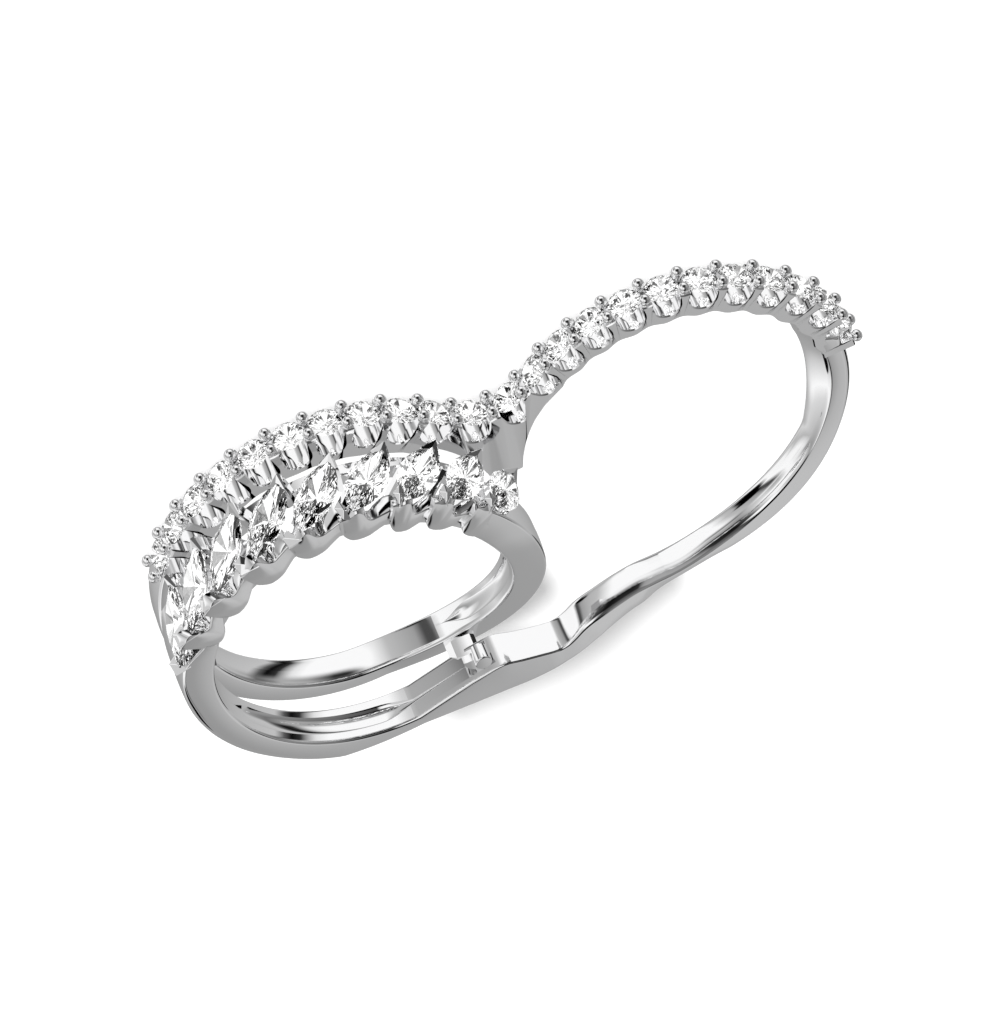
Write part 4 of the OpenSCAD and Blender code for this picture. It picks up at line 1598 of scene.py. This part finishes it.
@dataclass
class MarquiseRow:
    """The marquise gallery: stones, V prongs, lobed front rail, back rail and ribs.

    Attributes:
        count: number of stones.
        length, width: size of a stone.
        stone: the stones' cut.
        row_r, centre: circle of the stones' girdles.
        first, step: angle of the first stone, and the angle between two.
        slant: angle between a stone's length and the fingers.
        z: height of the stones' middles.
        rail_out: outer radius of both rails.
        front_hoop: lowest and highest point of the front rail behind its lobes, and its gap to the finger.
        back_hoop: the same of the back rail.
        hoop_past: angle by which both rails run on past the last stones.
        hoop_step: angle between two sections of the rails.
        hoop_bevel: bevel of both rails.
        feet: radius and angle of each claw's foot.
        claw_rise, claw_side, claw_out: directions in which the claws rise, spread and face.
        claw_high: height of each claw.
        claw_lean: how far each claw's tip leans along claw_side.
        claw_wide: half width of a claw's waist.
        claw_waist: share of the height at which its waist is.
        claw_ridge: share of the height at which its ridge is, and how far the ridge stands out.
        claw_deep: depth of a claw behind its facets.
        claw_root: how far a claw's root reaches in and down, and its depth below the stone's tip.
        claw_toe: how far a claw's foot stands out.
        claw_rim: bevel of a claw's edges.
        lobe_starts: angles between the lobes.
        lobe_steps: sections of a lobe.
        lobe_lap: angle by which one lobe runs under the next.
        lobe_low, lobe_high: inner and outer radius of a lobe, by share of its length.
        lobe_lift: how much higher each lobe's inner edge lies.
        lobe_reach: how far each lobe's start reaches out.
        lobe_reach_end: share of the length at which that reach ends.
        lobe_fall: how far the front face falls back, and the shares of the length over which it does.
        lobe_bevel: bevel of the lobes.
        lobe_rims: places of the middle points of the inner and the outer bevel, as shares of it.
        lobe_deep: depths of the lobes' inner and outer side behind the front face.
        lobe_tuck: how far the outer side's back edge lies in from its front edge.
        side_out: how far the outer side stands out behind the bevel, on the step and on the blade.
        side_down: depths of the step and of the blade's two points.
        wedge: depth of the dark step beside each claw.
        wedge_span: shares of the length over which the step is there.
        ledge: how far the outer side stands out towards a lobe's end.
        ledge_span: shares of the length over which it grows.
        blade: rise of the blade behind each lobe.
        blade_span: shares of the length over which it rises, and over which it falls to a half.
        blade_way: how far the blade goes back, and how far its two points go outwards, for its rise.
        rib: lowest point of a rib and half its foot's width.
        rib_slim: share of its width that it has at its top.
        rib_rows: places along a rib, and the heights there.
        prong_levels: sections of a back prong from its foot up, each with the height of the arms' ends,
            height of the apex, reach past the stone's tip, half width, length along the stone and wall.
        prong_top: the same of the outer and the inner rim of its top.
        prong_apex: the apex's wall as a multiple of the arms' wall.
    """

    count: int = 9
    length: float = 4.9
    width: float = 2.2
    stone: Brilliant = Brilliant(Cut.MARQUISE, length, width, 0.36, 1.0, 0.04, 0.58, mains=10)
    row_r: float = 10.9
    centre: tuple = (0.25, 0.0)
    first: float = 151.0
    step: float = 15.5
    slant: float = 37.8
    z: float = FRONT_Z - 1.87
    rail_out: float = 9.6
    front_hoop: tuple = (FRONT_Z - 0.95, FRONT_Z - 0.3, 0.1)
    back_hoop: tuple = (2.9, 3.65, 0.0)
    hoop_past: float = 14.0
    hoop_step: float = 2.0
    hoop_bevel: float = 0.08
    feet: tuple = (
        (10.9, 162.3), (11.1, 149.9), (10.8, 135.3), (10.55, 118.0), (10.1, 101.2), (10.5, 82.6),
        (10.66, 65.4), (10.75, 50.5), (11.0, 35.5),
    )
    claw_rise: tuple = (0.385, 0.565, -0.730)
    claw_side: tuple = (0.923, -0.2355, 0.304)
    claw_out: tuple = (0.0, 0.791, 0.612)
    claw_high: tuple = (1.15, 1.2, 1.2, 1.15, 1.0, 1.05, 1.15, 1.05, 0.9)
    claw_lean: tuple = (-0.1, 0.0, 0.35, -0.05, -0.15, -0.3, 0.0, -0.15, -0.1)
    claw_wide: float = 0.36
    claw_waist: float = 0.58
    claw_ridge: tuple = (0.55, 0.1)
    claw_deep: float = 0.5
    claw_root: tuple = (0.4, 0.6, 0.7)
    claw_toe: float = 0.02
    claw_rim: float = 0.02
    lobe_starts: tuple = (163.5, 151.0, 136.3, 118.6, 101.3, 84.0, 67.2, 54.2, 39.4, 25.0)
    lobe_steps: int = 36
    lobe_lap: float = 0.6
    lobe_low: tuple = (
        (0.0, 9.3), (0.02, 9.1), (0.08, 8.78), (0.17, 8.52), (0.3, 8.42), (0.47, 8.46), (0.74, 8.74),
        (1.0, 9.06),
    )
    lobe_high: tuple = (
        (0.0, 10.3), (0.15, 10.34), (0.44, 10.42), (0.5, 10.02), (0.56, 9.86), (0.75, 9.84), (1.0, 10.06),
    )
    lobe_lift: tuple = (0.26, 0.22, 0.12, -0.06, -0.06, 0.0, 0.0, 0.16, 0.25)
    lobe_reach: tuple = (0.75, 0.7, 0.3, 0.1, -0.25, 0.1, 0.3, 0.35, 0.45)
    lobe_reach_end: float = 0.55
    lobe_fall: tuple = (0.22, 0.5, 1.0)
    lobe_bevel: float = 0.07
    lobe_rims: tuple = (0.35, 0.3)
    lobe_deep: tuple = (0.85, 0.95)
    lobe_tuck: float = 0.3
    side_out: tuple = (0.02, 0.04, 0.06)
    side_down: tuple = (0.3, 0.35, 0.5)
    wedge: float = 0.5
    wedge_span: Swell = Swell(0.0, 0.4, 0.46, 0.52)
    ledge: float = 0.5
    ledge_span: tuple = (0.6, 0.95)
    blade: tuple = (0.0, 0.3, 0.4, 1.0, 1.1, 0.35, 0.2, 0.2, 0.2)
    blade_span: tuple = ((0.5, 0.7), (0.8, 1.0))
    blade_way: tuple = (0.78, 0.6, 0.45)
    rib: tuple = (-2.2, 0.26)
    rib_slim: float = 0.5
    rib_rows: tuple = ((-2.0, -1.3), (-1.5, -0.85), (1.3, -0.85), (1.7, -1.3))
    prong_levels: tuple = (
        (-1.95, -1.95, 0.06, 0.62, 0.80, 0.36),
        (-1.0, -1.0, 0.24, 0.62, 0.80, 0.30),
        (-0.25, -0.18, 0.30, 0.60, 0.74, 0.22),
        (0.04, 0.26, 0.26, 0.56, 0.70, 0.17),
    )
    prong_top: tuple = ((0.08, 0.50, 0.10, 0.52, 0.66, 0.12), (-0.02, 0.30, 0.02, 0.50, 0.68, 0.22))
    prong_apex: float = 1.7

    def angle(self, i: float) -> float:
        """Angle of a stone about the first finger's axis."""
        return self.first - i * self.step

    def place(self, i: float, u: float = 0.0, n: float = 0.0) -> tuple:
        """Place and directions at a point of a stone.

        Args:
            i: its number, from 0, or a place between two stones.
            u: distance of the point along its length.
            n: height of the point over its girdle.

        Returns:
            The point, the outward direction and the direction along the stone towards the front.
        """
        a = math.radians(self.angle(i))
        out = np.array([math.cos(a), math.sin(a), 0.0])
        side = np.array([-math.sin(a), math.cos(a), 0.0])
        tilt = math.radians(self.slant)
        along = side * math.sin(tilt) + np.array([0.0, 0.0, math.cos(tilt)])
        point = np.array([*self.centre, self.z]) + out * (self.row_r + n) + along * u
        return point, out, along

    def back_prong_plan(self) -> MeshPlan:
        """One V prong of the back ends in a stone's axes: X towards its tip, Z outward."""
        rings = [self.chevron(*level) for level in self.prong_levels]
        outside, inside = (self.chevron(*level) for level in self.prong_top)
        rings.append(outside[:3] + inside[3:])
        plan = MeshPlan()
        plan.loft(rings, caps=False)
        count = len(rings[0])
        for start in (0, (len(rings) - 1) * count):
            plan.face(start, start + 1, start + 4, start + 5)
            plan.face(start + 1, start + 2, start + 3, start + 4)
        return plan

    def chevron(
        self, n_arm: float, n_apex: float, ahead: float, half: float, back: float, thick: float,
    ) -> list[tuple[float, float, float]]:
        """One section of a V prong.

        Args:
            n_arm: height of the arms' ends.
            n_apex: height of the apex.
            ahead: reach past the stone's tip.
            half: half width.
            back: length along the stone.
            thick: wall.

        Returns:
            Its six corners: left arm's end, apex and right arm's end outside, then back inside.
        """
        tip = self.length / 2 + ahead
        end = tip - back
        return [
            (end, half, n_arm), (tip, 0.0, n_apex), (end, -half, n_arm), (end, thick - half, n_arm),
            (tip - thick * self.prong_apex, 0.0, n_apex), (end, half - thick, n_arm),
        ]

    def foot(self, i: int, inward: float, z: float) -> np.ndarray:
        """Point at a claw's foot on the front rail."""
        radius, angle = self.feet[i]
        return np.array([*polar(radius - inward, angle), z])

    def claw_points(self, i: int) -> list[np.ndarray]:
        """Corners of the claw over a stone's front tip; the claw is the smallest convex body round them.

        Its two outer facets rise from the foot outwards and back, and meet in a low ridge.

        Args:
            i: number of the stone, from 0.

        Returns:
            The corners.
        """
        foot = self.foot(i, 0.0, FRONT_Z)
        rise, side, out = (np.array(v) for v in (self.claw_rise, self.claw_side, self.claw_out))
        high, lean = self.claw_high[i], self.claw_lean[i]
        ridge_at, ridge_out = self.claw_ridge
        corners = [foot + rise * high + side * lean, foot + rise * high * ridge_at + out * ridge_out]
        waist = foot + rise * high * self.claw_waist
        corners += [waist + side * (self.claw_wide * way + lean * 0.5) for way in (-1, 1)]
        root_in, root_down, deep = self.claw_root
        tip, _, _ = self.place(i, self.length / 2, -deep)
        behind = [c - out * self.claw_deep for c in corners]
        root = self.foot(i, root_in, FRONT_Z - root_down)
        return corners + behind + [foot + out * self.claw_toe, root, tip]

    def lobe_section(self, i: int, share: float, low: float, high: float) -> list[tuple[float, float]]:
        """One section of a lobe.

        Args:
            i: number of the lobe.
            share: place along the lobe, from 0 to 1.
            low: inner radius there.
            high: outer radius there, without the reach of the lobe's start.

        Returns:
            Radii and heights round the section: its front face, the step beside the claw and the blade.
        """
        fall, *falls = self.lobe_fall
        growth, waning = self.blade_span
        inner_deep, outer_deep = self.lobe_deep
        front = FRONT_Z - fall * fade(share, *falls)
        high += self.lobe_reach[i] * fade(share, self.lobe_reach_end, 0.0)
        b = self.lobe_bevel
        wedge = self.wedge * self.wedge_span.at(share)
        ledge = self.ledge * fade(share, *self.ledge_span)
        rise = self.blade[i] * fade(share, *growth) * (1 - 0.5 * fade(share, *waning))
        blade_back, blade_outer, blade_inner = self.blade_way
        edge_out, step_out, blade_out = self.side_out
        step_down, outer_down, inner_down = self.side_down
        step = front - wedge
        blade = step - blade_back * rise
        inner_rim, outer_rim = (b * share for share in self.lobe_rims)
        return [
            (low, front - inner_deep), (low, front - b), (low + inner_rim, front - inner_rim),
            (low + b, front), (high - b, front), (high - outer_rim, front - outer_rim), (high, front - b),
            (high + wedge + edge_out, front - b - wedge * 0.5), (high + step_out + ledge, step - step_down),
            (high + blade_out + ledge + blade_outer * rise, blade - outer_down),
            (high + ledge + blade_inner * rise, blade - inner_down),
            (high - self.lobe_tuck, front - outer_deep),
        ]

    def lobe_plan(self) -> MeshPlan:
        """The lobes of the front rail, each with a step beside its claw and a blade that rises behind it."""
        plan = MeshPlan()
        for i in range(1, self.count):
            start, span = self.lobe_starts[i], self.lobe_starts[i] - self.lobe_starts[i + 1] + self.lobe_lap
            rings = []
            for t in np.linspace(0, span, self.lobe_steps):
                low = curve(self.lobe_low, t / span) + self.lobe_lift[i]
                section = self.lobe_section(i, t / span, low, curve(self.lobe_high, t / span))
                rings.append([(*polar(radius, start - t), z) for radius, z in section])
            plan.loft(rings)
        return plan

    def hoop_plan(self, low: float, high: float, gap: float) -> MeshPlan:
        """A plain hoop along the gallery.

        Args:
            low: its lowest point.
            high: its highest point.
            gap: its gap to the finger.

        Returns:
            Its points and faces.
        """
        inner = FINGER_R + gap
        plan = MeshPlan()
        rings = []
        b, outer = self.hoop_bevel, self.rail_out
        ends = self.angle(self.count - 1) - self.hoop_past, self.angle(0) + self.hoop_past
        for a in np.arange(ends[0], ends[1] + self.hoop_step / 2, self.hoop_step):
            section = [
                (inner, low + b), (inner, high - b), (inner + b, high), (outer - b, high), (outer, high - b),
                (outer, low + b), (outer - b, low), (inner + b, low),
            ]
            rings.append([(*polar(r, a), z) for r, z in section])
        plan.loft(rings)
        return plan

    def rib_plan(self) -> MeshPlan:
        """One slanted rib in a stone's axes, between this stone and the one before it."""
        plan = MeshPlan()
        low, half = self.rib
        slim = half * self.rib_slim
        plan.loft([
            [(u, -half, low), (u, half, low), (u, slim, top), (u, -slim, top)] for u, top in self.rib_rows
        ])
        return plan


@dataclass(frozen=True)
class Bead:
    """The ball beads that hold the round stones, two on each post.

    Attributes:
        radius: radius of the ball.
        squash: height of the ball as a share of its radius.
        stem_r: radius of the stem.
        stem_z: heights of the stem's foot and top, from the ball's middle.
        ball_from: angle under the ball's equator at which it leaves the stem.
        ball_steps: points from there to its pole.
        turns: faces round it.
        over: height of its middle over the girdle line.
        side: distance of the two from the rail's middle.
    """

    radius: float = 0.34
    squash: float = 0.94
    stem_r: float = 0.27
    stem_z: tuple = (-0.62, -0.2)
    ball_from: float = -38.0
    ball_steps: int = 12
    turns: int = 20
    over: float = 0.28
    side: float = 0.6

    def plan(self) -> MeshPlan:
        """Turns the stem and the ball about Z."""
        foot, top = self.stem_z
        outline = [(0.0, foot), (self.stem_r, foot), (self.stem_r, top)]
        for a in np.radians(np.linspace(self.ball_from, 90, self.ball_steps)):
            outline.append((self.radius * math.cos(a), self.radius * self.squash * math.sin(a)))
        around = np.linspace(0, 2 * math.pi, self.turns, endpoint=False)
        rings = [[(x * math.cos(a), x * math.sin(a), z) for x, z in outline] for a in around]
        plan = MeshPlan()
        plan.loft([*rings, rings[0]], closed=False, caps=False)
        return plan

    def places(self, row: StoneRow) -> list[tuple]:
        """Finds the places of the beads.

        Args:
            row: the row of stones that they hold.

        Returns:
            Their places, each with its outward direction and the direction along.
        """
        found = []
        for i in range(row.count + 1):
            s = (i - 0.5) * row.pitch()
            for side in (-self.side, self.side):
                place = np.array([*row.point(s, self.over), row.width / 2 + side])
                found.append((place, row.outward(s), (0, 0, 1)))
        return found


class Ring:
    """The whole ring."""

    def __init__(self) -> None:
        """Makes the finishes and the parts' sizes."""
        self.metal = PolishedWhiteGold().material()
        self.round_stone = ClearDiamond("clear_round_diamond", bend=2.3).material()
        self.marquise_stone = ClearDiamond("clear_marquise_diamond", bend=2.0).material()
        self.repeater = Repeater()
        self.row = StoneRow()
        self.marquise = MarquiseRow()

    def metal_piece(
        self, plan: MeshPlan, name: str, sharp: float = 40, notch: MeshPlan | None = None,
    ) -> bpy.types.Object:
        """Puts one piece of the metal body in place.

        Args:
            plan: its points and faces.
            name: its name.
            sharp: edges that bend by more degrees than this are crisp.
            notch: a space that is cut out of it.

        Returns:
            The piece.
        """
        piece = linked(plan.mesh(name, sharp), name)
        piece.data.materials.append(self.metal)
        if notch is not None:
            self.cut(piece, notch, sharp)
        self.settle(piece, METAL_SLOT, METAL_NODE)
        return piece

    def metal_copies(self, plan: MeshPlan, name: str, sharp: float, places: Sequence) -> None:
        """Puts copies of one shape in place as one piece of the metal body.

        Args:
            plan: the shape's points and faces.
            name: the piece's name.
            sharp: edges that bend by more degrees than this are crisp.
            places: places of the copies, with their directions.
        """
        source = linked(plan.mesh(name + "_source", sharp, placed=False), name + "_source")
        self.settle(self.repeater.copies(name, source, places, self.metal), METAL_SLOT, METAL_NODE)
        bpy.data.objects.remove(source)

    @staticmethod
    def cut(piece: bpy.types.Object, notch: MeshPlan, sharp: float) -> None:
        """Cuts a space out of a piece.

        Args:
            piece: the piece.
            notch: the space.
            sharp: edges that bend by more degrees than this are crisp.
        """
        space = linked(notch.mesh("notch_space", sharp), "notch_space")
        modifier = piece.modifiers.new("notch", "BOOLEAN")
        modifier.operation = "DIFFERENCE"
        modifier.solver = "EXACT"
        modifier.object = space
        applied(piece).set_sharp_from_angle(angle=math.radians(sharp))
        bpy.data.objects.remove(space)

    @staticmethod
    def settle(piece: bpy.types.Object, slot: str, node: str) -> None:
        """Attaches a piece to the body and hides the imported part of the node that it stands for.

        Metal isn't seen through the stones, which gather the studio's broken light instead.

        Args:
            piece: the piece.
            slot: the name of its material slot, which tells stones from metal.
            node: the node.
        """
        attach(piece, BODY)
        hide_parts(node)
        piece.visible_transmission = slot == STONE_SLOT
        log.info("made %s for %s with %d faces", piece.name, node, len(piece.data.polygons))

    def set_stones(
        self, name: str, digits: int, stone: Brilliant, places: Sequence, material: bpy.types.Material,
    ) -> None:
        """Sets the stones of a row, each a piece of its own.

        Args:
            name: name of the stones' nodes, before the number.
            digits: digits of the number.
            stone: their cut.
            places: their places, with their directions.
            material: their finish.
        """
        source = linked(stone.plan().mesh(name + "_source", None, placed=False), name + "_source")
        for number, place in enumerate(places, 1):
            node = f"{name}_{number:0{digits}d}"
            self.settle(self.repeater.copies("cut_" + node, source, [place], material), STONE_SLOT, node)
        bpy.data.objects.remove(source)

    def make_shanks(self) -> list[bpy.types.Object]:
        """Makes the two shanks, which other pieces don't mirror, and their joint.

        Returns:
            The pieces that throw the shadow: the bridge and the rising part of the back shank.
        """
        joint = Joint()
        left, middle, right = FrontShank().plans()
        low, rising, high = BackShank().plans()
        bridge = self.metal_piece(middle, "front_shank_bridge", notch=joint.notch_plan())
        neck = self.metal_piece(rising, "back_shank_rising")
        others = (
            (left, "front_shank_left"), (right, "front_shank_right"), (low, "back_shank_low"),
            (high, "back_shank_high"),
        )
        for shank in (bridge, neck, *(self.metal_piece(plan, name) for plan, name in others)):
            shank.visible_glossy = False
        self.metal_piece(joint.lug_plan(), "joint_lug", sharp=20)
        self.metal_piece(joint.pin_plan(), "joint_pin")
        return [bridge, neck]

    def make_gallery(self) -> None:
        """Makes the marquise gallery's metal."""
        row = self.marquise
        ends = [(point, out, -along) for point, out, along in map(row.place, range(row.count))]
        self.metal_copies(row.back_prong_plan(), "back_prongs", 14, ends)
        claws = hull_mesh("front_claws", [row.claw_points(i) for i in range(row.count)], row.claw_rim)
        claws.materials.append(self.metal)
        self.settle(linked(claws, "front_claws"), METAL_SLOT, METAL_NODE)
        gaps = [row.place(i - 0.5) for i in range(row.count + 1)]
        self.metal_copies(row.rib_plan(), "ribs", 12, gaps)
        self.metal_piece(row.lobe_plan(), "front_lobes", sharp=50)
        self.metal_piece(row.hoop_plan(*row.front_hoop), "front_hoop")
        self.metal_piece(row.hoop_plan(*row.back_hoop), "back_hoop")

    def make(self) -> list[bpy.types.Object]:
        """Makes every piece and returns those that throw the shadow."""
        self.metal_piece(RoundRail(self.row).plan(), "round_rail", sharp=35)
        blockers = self.make_shanks()
        self.make_gallery()
        bead = Bead()
        self.metal_copies(bead.plan(), "beads", 50, bead.places(self.row))
        round_places = [self.row.place(i) for i in range(self.row.count)]
        self.set_stones("round_stone", 2, self.row.stone, round_places, self.round_stone)
        marquise_places = [self.marquise.place(i) for i in range(self.marquise.count)]
        self.set_stones("marquise_stone", 1, self.marquise.stone, marquise_places, self.marquise_stone)
        return blockers


def main() -> None:
    """Makes the scene."""
    logging.basicConfig(level=logging.INFO)
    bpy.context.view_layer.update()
    studio = Studio()
    studio.make_camera()
    studio.make_world()
    floor = studio.make_floor()
    studio.make_key(floor, Ring().make())
    bpy.context.scene.view_settings.view_transform = "Standard"


if __name__ == "__main__":
    main()
